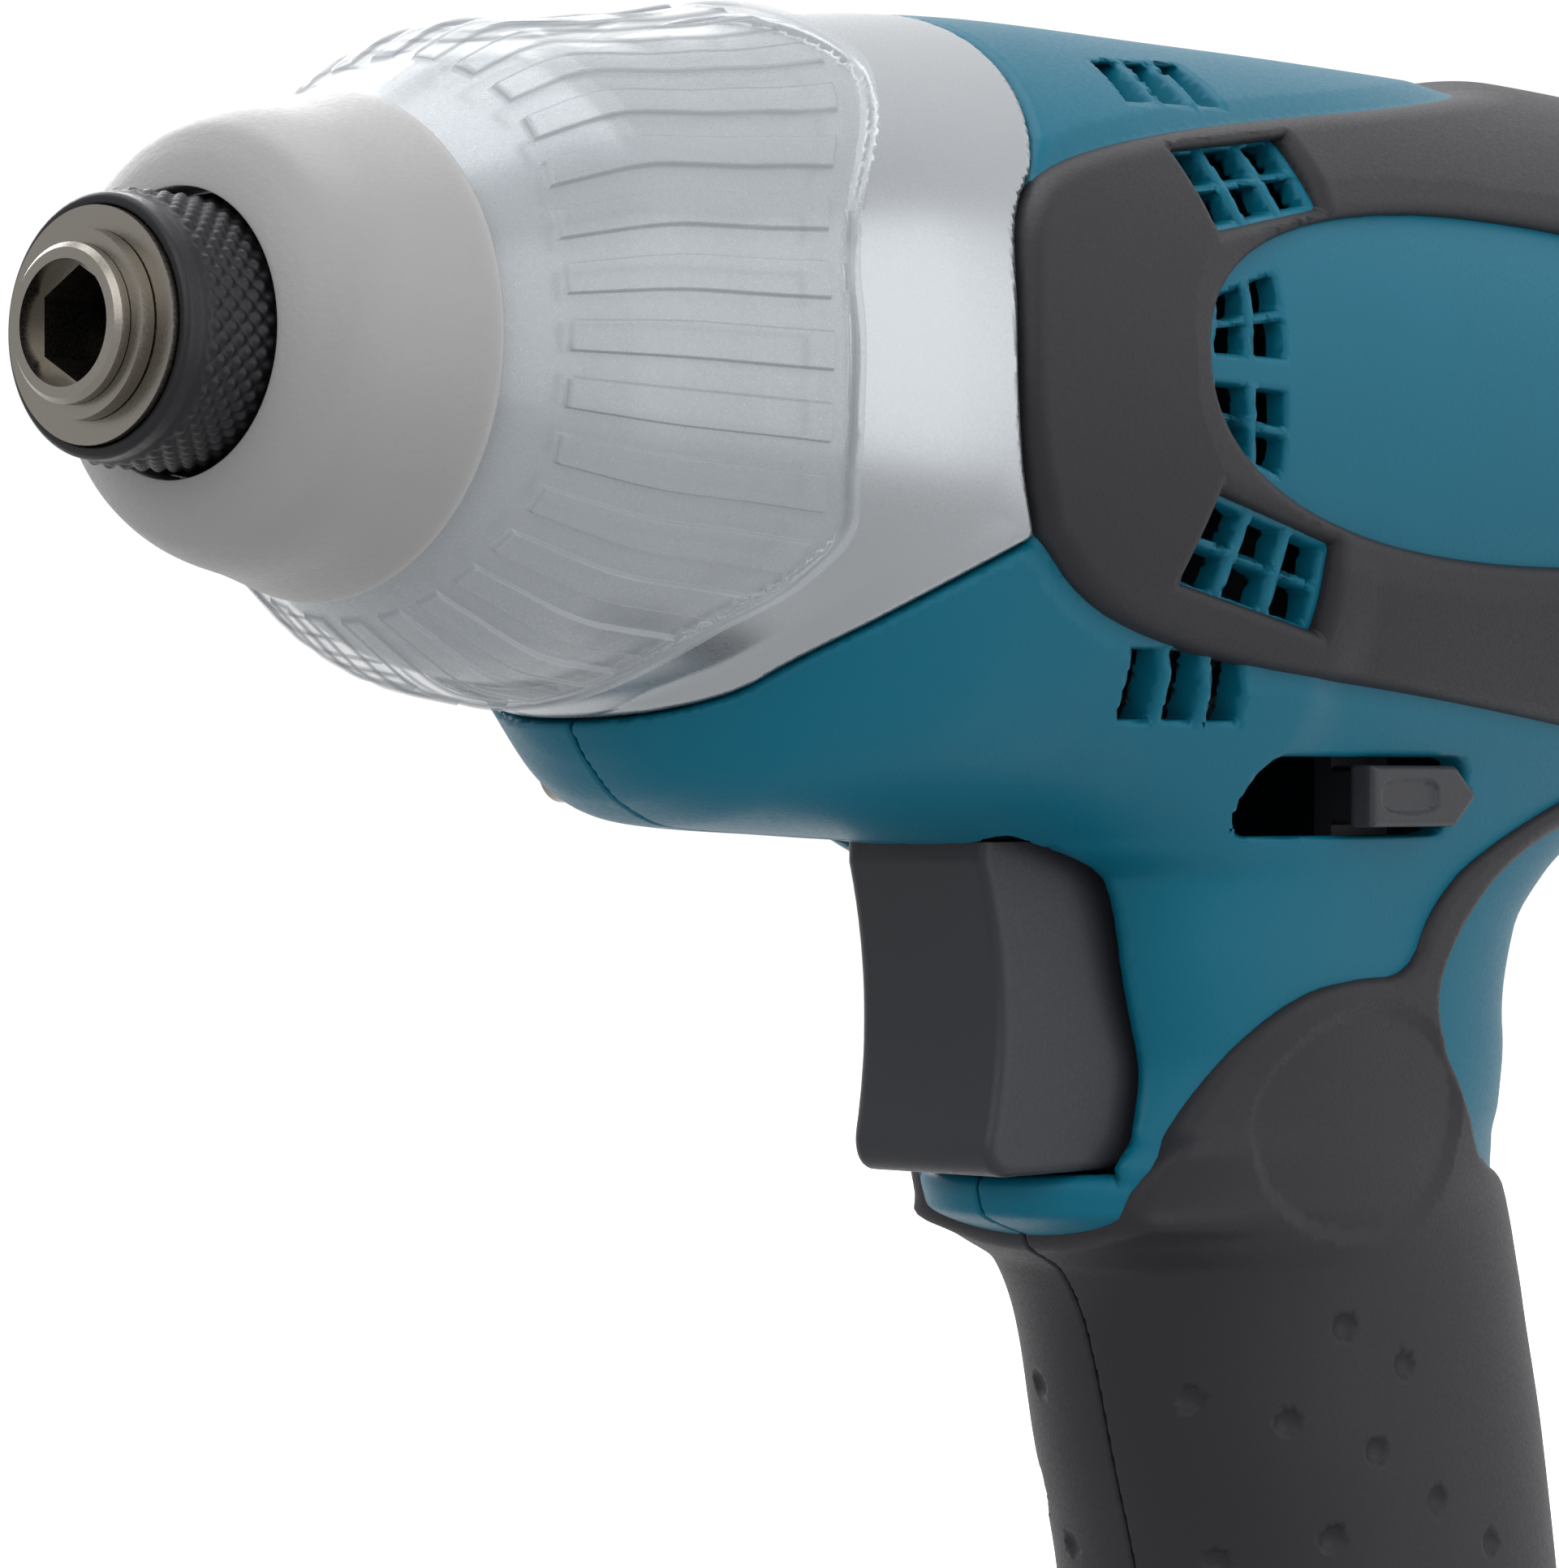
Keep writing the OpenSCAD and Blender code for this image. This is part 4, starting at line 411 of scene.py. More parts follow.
class Body:
    """Outer form of the driver as signed distances in millimetres, negative inside."""

    def __init__(self):
        self.x0, self.len, self.r = mm("barrel_x"), mm("barrel_len"), mm("barrel_r")
        self.drop, self.depth, self.wide = mm("handle_drop"), mm("grip_d"), mm("grip_w") / 2
        self.lean = np.tan(bpy.context.scene.driver_sizes.grip_lean)
        self.radius = curve([(self.x0 + s * self.len, t * self.r) for s, t in BARREL_SHARES])
        rows = np.array(CHIN_SHARES)
        chin_x = self.x0 + rows[:, 0] * self.len
        self.chin_ends = chin_x[0], chin_x[-1]
        self.chin_low = curve(np.stack([chin_x, rows[:, 1] * mm("chin_depth")], 1))
        self.chin_half = curve(np.stack([chin_x, rows[:, 2] * self.r], 1))
        rows = np.array(GRIP_SHARES)
        down = rows[:, 0] * self.drop
        self.fore, self.back, self.half, self.square = (
            curve(np.stack([down, rows[:, k] * s], 1))
            for k, s in ((1, self.depth), (2, self.depth), (3, self.wide), (4, 1)))
        self.bow = curve(np.array(BOW_SHARES) * (self.drop, self.depth))
        corner = self.barrel_place(CORNER_SHARE)
        self.front = area(cut_corners(self.barrel_places(FRONT_SHARES), [corner]))
        self.panel = area(cut_corners(self.barrel_places(PANEL_SHARES), [corner]))
        self.strip = area(cut_corners([self.grip_place(s) for s in STRIP_SHARES]))
        self.spine = area(cut_corners([self.grip_place(s) for s in BACK_SHARES]))
        self.panes = self.all_panes()
        self.dimples = self.dimple_places()
        self.windows = [self.barrel_places(row[0]) for row in GRILLES[:WINDOWS]]

    def all_panes(self):
        """Corners of every pane of every grille, between its bars."""
        panes = []
        for corners, columns, rows in GRILLES:
            for i in range(columns):
                for j in range(rows):
                    s0, s1 = (i + BAR_SHARE) / columns, (i + 1 - BAR_SHARE) / columns
                    t0, t1 = (j + BAR_SHARE) / rows, (j + 1 - BAR_SHARE) / rows
                    around = ((s0, t0), (s1, t0), (s1, t1), (s0, t1))
                    panes.append([self.barrel_place(self.grille_place(corners, s, t)) for s, t in around])
        return panes

    def barrel_place(self, share):
        """Side-view place of a share of the barrel's length and radius."""
        return self.x0 + share[0] * self.len, share[1] * self.r

    def barrel_places(self, shares):
        """Side-view places of a row of shares."""
        return [self.barrel_place(s) for s in shares]

    def grip_place(self, share):
        """Side-view place of a share of the drop and of the grip's depth behind its axis."""
        down = share[0] * self.drop
        return mm("grip_x") + down * self.lean + share[1] * self.depth, -down

    @staticmethod
    def grille_place(corners, along, down):
        """Place inside a grille, blended between its four corners."""
        a, b, c, d = (np.array(p) for p in corners)
        return (1 - down) * ((1 - along) * a + along * b) + down * ((1 - along) * d + along * c)

    def form(self, x, y, z):
        """The whole closed outer form: a turned barrel with a rounded rear end, a chin of rounded-square
        sections that hangs below it, and a handle of rounded-square sections, joined by fillets."""
        barrel = (np.hypot(y, z) - self.radius(x)) / np.sqrt(1 + steepness(self.radius, x) ** 2)
        barrel = rounded_max(barrel, x - self.x0 - self.len, mm("rear_round"))
        down = -z
        axis = mm("grip_x") + down * self.lean + self.bow(down)
        fore, back = self.fore(down), self.back(down)
        ahead = axis + (back - fore) / 2 - x
        handle = oval_distance(ahead, y, (back + fore) / 2, self.half(down), self.square(down))
        steep = steepness(self.fore, down) * np.clip(2 * ahead / (back + fore), 0, 1) ** 2
        handle = handle / np.sqrt(1 + steep ** 2)
        ends = np.maximum(down - self.drop, HANDLE_TOP_SHARE * self.drop - down)
        handle = rounded_max(handle, ends, FOOT_ROUND)
        return blend_min(blend_min(barrel, self.chin(x, y, z), CHIN_FILLET), handle, HANDLE_FILLET)

    def chin(self, x, y, z):
        """Rounded-square sections that hang below the barrel, with rounded ends."""
        up = np.where(z < 0, z, CHIN_SHORTENING * z)
        chin = oval_distance(y, up, self.chin_half(x), self.chin_low(x), CHIN_SQUARE)
        ends = np.maximum(self.chin_ends[0] - x, x - self.chin_ends[1])
        return rounded_max(chin, ends, CHIN_ROUND)

    def grille_holes(self, x, z):
        """Nearest pane of the air grilles, carried across the tool."""
        return np.minimum.reduce([quad_distance(p, x, z) for p in self.panes])

    def low_slots(self, x, z):
        """Leaning slots in a row under the rubber panel."""
        up = z - SLOT_Z
        out = np.inf
        for k in range(SLOT_COUNT):
            mid = SLOT_X + SLOT_PITCH * k
            along = np.abs(x - mid + SLOT_LEAN * up)
            out = np.minimum(out, np.maximum(along - SLOT_HALF_W, np.abs(up) - SLOT_HALF_H))
        return out

    def lever_slot(self, x, z):
        """Round-ended slot of the reversing lever."""
        past = np.maximum(np.abs(x - LEVER_SLOT_X) - LEVER_SLOT_RUN, 0)
        return np.hypot(past, z - LEVER_Z) - LEVER_SLOT_R

    def gate(self, x, y, z):
        """Box that the trigger slides in."""
        return overlap(np.abs(y) - GATE_HALF_W, np.abs(z - TRIGGER_Z) - GATE_HALF_H, x - GATE_REAR)

    def gate_top(self, x, y, z):
        """Slot in the chin that the trigger's top reaches into."""
        return overlap(np.abs(y) - GATE_HALF_W, np.abs(z - GATE_TOP_Z) - GATE_TOP_HALF_H,
                       np.abs(x - GATE_TOP_X) - GATE_TOP_RUN)

    def oval(self, x, z):
        """Oval window in the rubber panel."""
        mid = self.barrel_place(OVAL_SHARE)
        return oval_distance(x - mid[0], z - mid[1], OVAL_LENGTH_SHARE * self.len, OVAL_HALF_H, OVAL_SQUARE)

    @staticmethod
    def drilled(solid, x, y, z):
        """A solid with the round holes that the screws go in through."""
        for px, pz in SCREWS:
            hole = np.minimum(SCREW_HOLE_R - np.hypot(x - px, z - pz), y - SCREW_SEAT_Y)
            solid = rounded_max(solid, hole, SEAM_ROUND)
        return solid

    def shell(self, x, y, z, side):
        """One housing half: the form less its hollow, cut at the front edge, the seam and every opening."""
        form = self.form(x, y, z)
        ledge = np.clip(1 - np.maximum(self.panel(x, z), 0) / LEDGE_RUN, 0, 1)
        solid = rounded_max(form + LEDGE_DEPTH * ledge, self.front(x, z) + FRONT_GAP, FRONT_ROUND)
        solid = rounded_max(solid, -self.gate(x, y, z), GATE_ROUND)
        solid = rounded_max(solid, -self.gate_top(x, y, z), SEAM_ROUND)
        holes = np.minimum(self.grille_holes(x, z), self.low_slots(x, z))
        if side < 0:
            holes = np.minimum(holes, self.lever_slot(x, z))
        solid = rounded_max(solid, -holes, HOLE_ROUND)
        solid = np.maximum(solid, -(form + mm("wall")))
        foot_hole = np.minimum(FOOT_HOLE_R - np.hypot(x - FOOT_HOLE_X, y), FOOT_HOLE_TOP - z)
        solid = np.maximum(solid, foot_hole)
        if side > 0:
            solid = self.drilled(solid, x, y, z)
        return rounded_max(solid, mm("seam") / 2 - side * y, SEAM_ROUND)

    def rubber(self, x, y, z, side):
        """One half of the overmould: a skin over the form, kept to its side-view areas, its edges rounded."""
        form = self.form(x, y, z)
        panel = self.panel(x, z)
        oval = self.oval(x, z)
        spine = rounded_max(self.spine(x, z), np.abs(y) - SPINE_HALF_W, SPINE_ROUND)
        zone = np.minimum(np.maximum(panel + PANEL_GAP, -oval), self.strip(x, z))
        zone = np.minimum(zone, spine)
        for window in self.windows:
            zone = np.maximum(zone, -quad_distance(window, x, z))
        zone = np.maximum(zone, RUBBER_FOOT - z)
        bevel = np.clip(BEVEL_LEAST_SHARE + BEVEL_GAIN_SHARE * oval, BEVEL_LEAST_SHARE, 1)
        thick = mm("rubber_t") * np.where(panel < 0, bevel, 1) - self.hollows(x, y, z)
        skin = rounded_max(form - thick, zone, RUBBER_ROUND)
        skin = rounded_max(skin, -self.gate(x, y, z), RUBBER_CUT_ROUND)
        if side < 0:
            skin = rounded_max(skin, -self.lever_slot(x, z), RUBBER_CUT_ROUND)
        else:
            skin = self.drilled(skin, x, y, z)
        skin = np.maximum(skin, -(form + RUBBER_SUNK))
        far = CAD_BOX[1] / MM
        beyond = np.maximum(np.abs(y) - far.y + BOX_GAP, x - far.x + BOX_GAP)
        skin = rounded_max(skin, beyond, RUBBER_CUT_ROUND)
        return rounded_max(skin, mm("seam") / 2 - side * y, SEAM_ROUND)

    def hollows(self, x, y, z):
        """Depth of the thumb's dish and of the round dimples in the grip: a flat dish with a sloping rim, and
        dimples that deepen as a parabola to their middles."""
        dish = oval_distance(x - DISH_X, z - DISH_Z, DISH_HALF_L, DISH_HALF_H, DISH_SQUARE)
        depth = DISH_DEPTH * np.clip(-dish / DISH_RIM, 0, 1)
        for px, py, pz in self.dimples:
            off = (x - px) ** 2 + (np.abs(y) - py) ** 2 + (z - pz) ** 2
            depth = np.maximum(depth, DIMPLE_DEPTH * np.clip(1 - off / DIMPLE_R ** 2, 0, 1))
        return depth

    def dimple_places(self):
        """Places of the dimples on the grip: each side-view place carried out to the first point past the
        form."""
        y = np.linspace(0, SIDE_SEARCH_SHARE * self.wide, SIDE_SEARCH_STEPS)
        return [(px, y[np.argmax(self.form(px + 0 * y, y, pz + 0 * y) > 0)], pz) for px, pz in DIMPLES]


@lru_cache(maxsize=None)
def body():
    """The one outer form that all pieces share."""
    return Body()


# Meshes.

def make_mesh(name, points, faces, normals=None):
    """An object from whole arrays of points, in millimetres, and four-cornered faces."""
    mesh = bpy.data.meshes.new(name)
    mesh.vertices.add(len(points))
    mesh.vertices.foreach_set("co", (np.asarray(points, float) * MM).astype(np.float32).ravel())
    mesh.loops.add(faces.size)
    mesh.loops.foreach_set("vertex_index", faces.astype(np.int32).ravel())
    mesh.polygons.add(len(faces))
    mesh.polygons.foreach_set("loop_start", np.arange(0, faces.size, 4, dtype=np.int32))
    mesh.polygons.foreach_set("use_smooth", np.ones(len(faces), bool))
    mesh.update(calc_edges=True)
    mesh.validate()
    if normals is not None:
        mesh.normals_split_custom_set_from_vertices(normals.astype(np.float32))
    made = bpy.data.objects.new(name, mesh)
    bpy.context.scene.collection.objects.link(made)
    return made


def lines(*stops):
    """Grid lines along one axis: from each stop to the next in steps of the stop's own size."""
    runs = [np.arange(a, b - s / 2, s) for (a, s), (b, _) in zip(stops, stops[1:])]
    return np.concatenate(runs + [[stops[-1][0]]])


def slope_of(field, points, reach=.02):
    """Value and slope of a field at points, from small steps to both sides."""
    x, y, z = points.T
    slope = np.stack([field(x + reach, y, z) - field(x - reach, y, z),
                      field(x, y + reach, z) - field(x, y - reach, z),
                      field(x, y, z + reach) - field(x, y, z - reach)], 1) / (2 * reach)
    return field(x, y, z), slope


def skin_of(field, xs, ys, zs, turns=3, stride=.25, least=.05):
    """Closed net over a solid given as a field: each grid cell that the surface crosses gets one point, the
    mean of the crossings on its edges, and each crossed edge a face between its four cells. In a few turns
    the points then slide down the field's slope onto the true surface. A stride limits the distance that one
    turn works off, and a least square of the slope keeps points still where the field is flat."""
    lines_of = [xs, ys, zs]
    value = np.broadcast_to(field(xs[:, None, None], ys[None, :, None], zs[None, None, :]),
                            (len(xs), len(ys), len(zs)))
    inside = value < 0
    counts = np.array(value.shape)
    cell_ids, places, faces = [], [], []
    for axis in range(3):
        b, c = (axis + 1) % 3, (axis + 2) % 3
        low = [slice(None)] * 3
        low[axis] = slice(0, -1)
        high = [slice(None)] * 3
        high[axis] = slice(1, None)
        at = np.array(np.nonzero(inside[tuple(low)] != inside[tuple(high)]))
        far = at.copy()
        far[axis] += 1
        v0, v1 = value[tuple(at)], value[tuple(far)]
        place = np.stack([lines_of[k][at[k]] for k in range(3)], 1)
        place[:, axis] += (lines_of[axis][far[axis]] - lines_of[axis][at[axis]]) * v0 / (v0 - v1)
        ring = []
        for db, dc in ((-1, -1), (0, -1), (0, 0), (-1, 0)):
            cell = at.copy()
            cell[b] += db
            cell[c] += dc
            ring.append((cell[0] * counts[1] + cell[1]) * counts[2] + cell[2])
            cell_ids.append(ring[-1])
            places.append(place)
        ring = np.stack(ring, 1)
        faces.append(np.where((v0 < 0)[:, None], ring, ring[:, ::-1]))
    ids, index, many = np.unique(np.concatenate(cell_ids), return_inverse=True, return_counts=True)
    places = np.concatenate(places)
    points = np.stack([np.bincount(index, places[:, k]) / many for k in range(3)], 1)
    faces = np.searchsorted(ids, np.concatenate(faces))
    for turn in range(turns):
        off, slope = slope_of(field, points)
        size = np.maximum((slope ** 2).sum(1), least)
        points -= (np.clip(off, -stride, stride) / size)[:, None] * slope
    slope = slope_of(field, points)[1]
    normals = slope / np.maximum(np.linalg.norm(slope, axis=1, keepdims=True), TINY)
    return points, faces, normals


def grid_faces(rows, columns):
    """Faces of a grid of points that closes on itself both ways."""
    a = np.arange(rows)[:, None] * columns + np.arange(columns)[None, :]
    b = np.roll(a, -1, 1)
    return np.stack([a, b, np.roll(b, -1, 0), np.roll(a, -1, 0)], -1).reshape(-1, 4)


def round_corners(points, r, steps=4, most=1 / 3):
    """Closed profile with each corner replaced by a short curve that leaves its edges r away, or a third
    along them where that is less."""
    points = np.array(points, float)
    t = np.linspace(0, 1, steps + 1)[:, None]
    made = []
    for before, p, after in zip(np.roll(points, 1, 0), points, np.roll(points, -1, 0)):
        a = p + (before - p) * min(most, r / max(np.linalg.norm(before - p), TINY))
        b = p + (after - p) * min(most, r / max(np.linalg.norm(after - p), TINY))
        made.append((1 - t) ** 2 * a + 2 * t * (1 - t) * p + t ** 2 * b)
    return np.concatenate(made)


def fill_in(profile, step):
    """Closed profile with points added so that none lie further apart than a step."""
    runs = []
    for a, b in zip(profile, np.roll(profile, -1, 0)):
        count = max(1, int(np.ceil(np.linalg.norm(b - a) / step)))
        runs.append(a + (b - a) * np.arange(count)[:, None] / count)
    return np.concatenate(runs)


def turned(name, profile, columns, swell=None):
    """A closed profile of places along the axis and radii, carried round the drive axis. swell adds to each
    radius by place and angle."""
    angle = np.linspace(0, 2 * np.pi, columns, endpoint=False)[None, :]
    x = np.repeat(profile[:, :1], columns, 1)
    r = profile[:, 1:2] + (swell(profile, angle) if swell else 0 * angle)
    points = np.stack([x, -r * np.sin(angle), r * np.cos(angle)], -1).reshape(-1, 3)
    faces = grid_faces(len(profile), columns)
    return outward(make_mesh(name, points, faces))


def outward(piece):
    """Turns a closed mesh's faces outwards where its volume comes out negative."""
    mesh = piece.data
    co = np.empty(len(mesh.vertices) * 3)
    mesh.vertices.foreach_get("co", co)
    mesh.calc_loop_triangles()
    tri = np.empty(len(mesh.loop_triangles) * 3, np.int32)
    mesh.loop_triangles.foreach_get("vertices", tri)
    a, b, c = co.reshape(-1, 3)[tri.reshape(-1, 3)].transpose(1, 0, 2)
    if np.einsum("ij,ij->", a, np.cross(b, c)) < 0:
        mesh.flip_normals()
    return piece


replaced = set()


def settle(piece, body_name, slot, *nodes):
    """Puts a finished piece on its body, with its slot's finish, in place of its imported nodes."""
    piece.data.materials.clear()
    piece.data.materials.append(material(slot))
    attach(piece, body_name)
    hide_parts(*nodes)
    replaced.update(nodes)
    return piece


def dress(node, body_name, slot, field, xs, ys, zs):
    """Makes a node's skin from a field on three rows of grid lines, and settles it."""
    made = make_mesh(node + "_skin", *skin_of(field, xs, ys, zs))
    settle(made, body_name, slot, node)


# Materials.

# Sockets of the colour mixing node, where several have the same name.
MIX_SHARE = 0
MIX_FIRST = 6
MIX_SECOND = 7
MIX_RESULT = 2


def add(tree, kind, sets=None, wires=None):
    """Adds one shader node: sets are its own settings, wires its sockets' values or the sockets they come
    from."""
    made = tree.nodes.new(kind)
    for key, value in (sets or {}).items():
        setattr(made, key, value)
    for key, value in (wires or {}).items():
        if isinstance(value, bpy.types.NodeSocket):
            tree.links.new(value, made.inputs[key])
        else:
            made.inputs[key].default_value = value
    return made


def finish(name, base, grain_mm, bump, patch_mm=14, tone=.06, rough=(.4, .5), **shader):
    """A finish with a fine moulded or blasted grain and slow changes of tone and gloss. Grain and patches are
    noise on Object coordinates, whose scale is one over their size. The grain is a quarter of its size
    high."""
    made = bpy.data.materials.new(name)
    made.use_nodes = True
    tree = made.node_tree
    tree.nodes.clear()
    place = add(tree, "ShaderNodeTexCoord").outputs["Object"]
    patch = add(tree, "ShaderNodeTexNoise", None, {
        "Vector": place, "Scale": 1 / (patch_mm * MM), "Detail": 3.0})
    grain = add(tree, "ShaderNodeTexNoise", None, {
        "Vector": place, "Scale": 1 / (grain_mm * MM), "Detail": 2.0})
    dark = tuple(c * (1 - tone) for c in base[:3]) + (1.0,)
    light = tuple(min(1, c * (1 + tone)) for c in base[:3]) + (1.0,)
    mixed = add(tree, "ShaderNodeMix", {"data_type": "RGBA"}, {
        MIX_SHARE: patch.outputs["Fac"], MIX_FIRST: dark, MIX_SECOND: light})
    gloss = add(tree, "ShaderNodeMapRange", None, {
        "Value": grain.outputs["Fac"], "From Min": .3, "From Max": .7,
        "To Min": rough[0], "To Max": rough[1]})
    raised = add(tree, "ShaderNodeBump", None, {
        "Height": grain.outputs["Fac"], "Strength": bump, "Distance": grain_mm * MM / 4})
    wires = {"Base Color": mixed.outputs[MIX_RESULT], "Roughness": gloss.outputs["Result"],
             "Normal": raised.outputs["Normal"]}
    wires.update({key.replace("_", " "): value for key, value in shader.items()})
    lit = add(tree, "ShaderNodeBsdfPrincipled", None, wires)
    add(tree, "ShaderNodeOutputMaterial", None, {"Surface": lit.outputs["BSDF"]})
    return made


# Each finish: colour, grain in millimetres, height of the grain, and what else the shader gets. Much real
# grain is too fine to show in a picture, so it is drawn this coarse.
FINISHES = {
    # Glass-filled nylon from an eroded mould: satin, with a fine grain.
    "teal_plastic": ("nylon, moulded teal", "teal", .35, .22, {
        "rough": (.36, .46), "Specular_IOR_Level": .16}),
    # Soft rubber from a blasted mould: dull, dark, with a visible grain.
    "dark_rubber": ("thermoplastic rubber, moulded", "rubber", .3, .3, {
        "rough": (.44, .56), "Specular_IOR_Level": .2}),
    # Milky elastomer: dull, with light going in a little below the surface.
    "grey_rubber": ("elastomer, moulded milky", "bumper", .4, .35, {
        "rough": (.4, .52), "Subsurface_Weight": .2, "Subsurface_Radius": (.004, .004, .0038),
        "Subsurface_Scale": 1.0}),
    # Die-cast aluminium under silver lacquer: fine sparkle and broad soft reflections.
    "silver_alloy": ("aluminium, cast and lacquered", "silver", .25, .05, {
        "tone": .03, "rough": (.26, .32), "Metallic": .9}),
    # Blackened steel: dark, with small bright edges.
    "black_steel": ("steel, blackened", "sleeve", .3, .2, {"rough": (.36, .48), "Metallic": .6}),
    # Ground steel: warm grey with a clear shine.
    "bare_steel": ("steel, ground", "steel", .2, .12, {"rough": (.24, .34), "Metallic": 1.0}),
    # Polished balls: near mirror.
    "ball_steel": ("steel, lapped", "ball", .2, .03, {"tone": .02, "rough": (.08, .14), "Metallic": 1.0}),
    # Sintered bronze: brown gold with fine pores.
    "bronze": ("bronze, sintered", "bronze", .25, .3, {"rough": (.35, .5), "Metallic": 1.0}),
    # Enamelled copper: red brown under a clear skin.
    "copper": ("copper, enamelled", "copper", .5, .2, {
        "rough": (.3, .4), "Metallic": .9, "Coat_Weight": .5}),
    # Nylon from a polished mould: near black, with a satin sheen.
    "black_plastic": ("nylon, moulded black", "trigger", .3, .22, {
        "rough": (.36, .48), "Specular_IOR_Level": .3}),
    # Acetal: off white, waxy.
    "pale_plastic": ("acetal, moulded pale", "pale", .4, .1, {"rough": (.35, .45)}),
    # Pressed carbon: black with a dull sheen.
    "carbon": ("carbon, pressed", "carbon", .2, .3, {"rough": (.5, .65)}),
    # Stacked sheet steel: blue grey, dull.
    "stack_steel": ("steel, stacked sheets", "stack", .3, .25, {"rough": (.4, .55), "Metallic": .9}),
}


@lru_cache(maxsize=None)
def material(slot):
    """The finish of a material slot, made once."""
    if slot == "clear_plastic":
        return clear_material()
    name, tone, grain, bump, more = FINISHES[slot]
    return finish(name, colour(tone), grain, bump, **more)


# Slow waves in the clear cover, in millimetres.
WAVE = 3
WAVE_RISE = .3


def clear_material():
    """Polycarbonate, moulded clear: a glossy skin that shows the case below through a faint grey haze, with
    painted shade: darker, more opaque colour along the flanks of its ribs, where light is turned aside, and a
    line of painted shadow at its lip."""
    made = bpy.data.materials.new("polycarbonate, moulded clear")
    made.use_nodes = True
    tree = made.node_tree
    tree.nodes.clear()
    place = add(tree, "ShaderNodeTexCoord").outputs["Object"]
    wave = add(tree, "ShaderNodeTexNoise", None, {"Vector": place, "Scale": 1 / (WAVE * MM), "Detail": 2.0})
    raised = add(tree, "ShaderNodeBump", None, {
        "Height": wave.outputs["Fac"], "Strength": .06, "Distance": WAVE_RISE * MM})
    # Painted shade: the mask of the rib flanks and of the lip's line, read from the mesh, darkens the colour
    # and makes it more opaque.
    flank = add(tree, "ShaderNodeAttribute", {"attribute_name": "flank"}).outputs["Fac"]
    tone = add(tree, "ShaderNodeMix", {"data_type": "RGBA"}, {
        MIX_SHARE: flank, MIX_FIRST: colour("clear"), MIX_SECOND: colour("flank")})
    seen = add(tree, "ShaderNodeMapRange", None, {"Value": flank, "To Min": .3, "To Max": .85})
    lit = add(tree, "ShaderNodeBsdfPrincipled", None, {
        "Base Color": tone.outputs[MIX_RESULT], "Roughness": .14, "IOR": 1.58,
        "Alpha": seen.outputs["Result"], "Normal": raised.outputs["Normal"]})
    add(tree, "ShaderNodeOutputMaterial", None, {"Surface": lit.outputs["BSDF"]})
    return made


# Operators.

# Camera: lens and sensor in millimetres, and its place in metres.
LENS = 113.26
SENSOR = 36
CLIP_START = .01
CLIP_END = 20
CAMERA_PLACE = (-.20722, -.22978, -.02865)
CAMERA_WAY = (.7696, .6386, 0)
# Studio, in metres: the way to its bright side, its floor, and each lamp's name, place, width and power.
BRIGHT_WAY = (.74, .61, .28)
WHITE = (1, 1, 1, 1)
PAPER = (.9, .9, .9, 1)
PAPER_GRAIN = 2
PAPER_BUMP = .02
FLOOR_HALF = 1.5
FLOOR_GAP = .0005
FLOOR_LINES = 13
FLOOR_GLOW = .55
LIT_PLACE = (.09, 0, -.04)
LAMPS = [("key", (-.85, -.3, .5), 1, 5.5), ("fill", (.3, -1.15, .2), 1.5, 8), ("rim", (.5, .8, .5), .7, 6),
         ("top", (.1, .1, .9), .8, 5)]


def aim(made, place, way):
    """Puts a camera or a lamp in the scene, looking one way."""
    made.location = place
    made.rotation_mode = "QUATERNION"
    made.rotation_quaternion = Vector(way).to_track_quat("-Z", "Y")
    bpy.context.scene.collection.objects.link(made)


class DRIVER_OT_stage(Operator):
    """Adds the camera, the floor and the studio lights"""

    bl_idname = "driver.stage"
    bl_label = "Stage"

    def execute(self, context):
        data = bpy.data.cameras.new("camera")
        data.lens = LENS
        data.sensor_width = SENSOR
        data.clip_start = CLIP_START
        data.clip_end = CLIP_END
        camera = bpy.data.objects.new("camera", data)
        aim(camera, CAMERA_PLACE, CAMERA_WAY)
        context.scene.camera = camera
        world = bpy.data.worlds.new("studio")
        context.scene.world = world
        world.use_nodes = True
        tree = world.node_tree
        way = add(tree, "ShaderNodeTexCoord").outputs["Generated"]
        facing = add(tree, "ShaderNodeVectorMath", {"operation": "DOT_PRODUCT"}, {0: way, 1: BRIGHT_WAY})
        level = add(tree, "ShaderNodeMapRange", {"interpolation_type": "SMOOTHSTEP"}, {
            "Value": facing.outputs["Value"], "From Min": -.3, "From Max": .8, "To Min": .66, "To Max": 1.05})
        tree.links.new(level.outputs["Result"], tree.nodes["Background"].inputs["Strength"])
        tree.nodes["Background"].inputs["Color"].default_value = WHITE
        context.scene.view_settings.view_transform = "Standard"
        low = CAD_BOX[0].z - FLOOR_GAP
        t = np.linspace(-FLOOR_HALF, FLOOR_HALF, FLOOR_LINES) / MM
        x, y = np.meshgrid(t, t, indexing="ij")
        points = np.stack([x, y, np.full_like(x, low / MM)], -1).reshape(-1, 3)
        cells = np.arange(FLOOR_LINES - 1)
        a = (cells[:, None] * FLOOR_LINES + cells).ravel()
        floor = make_mesh("floor", points, np.stack([a, a + FLOOR_LINES, a + FLOOR_LINES + 1, a + 1], 1))
        floor.data.materials.append(finish(
            "paper, matt white and lit from below", PAPER, PAPER_GRAIN, PAPER_BUMP, rough=(.85, .95),
            Emission_Color=WHITE, Emission_Strength=FLOOR_GLOW))
        floor.visible_diffuse = False
        floor.visible_glossy = False
        floor.visible_shadow = False
        for name, place, size, power in LAMPS:
            lamp = bpy.data.lights.new(name, "AREA")
            lamp.size = size
            lamp.energy = power
            aim(bpy.data.objects.new(name, lamp), place, Vector(LIT_PLACE) - Vector(place))
        return {"FINISHED"}


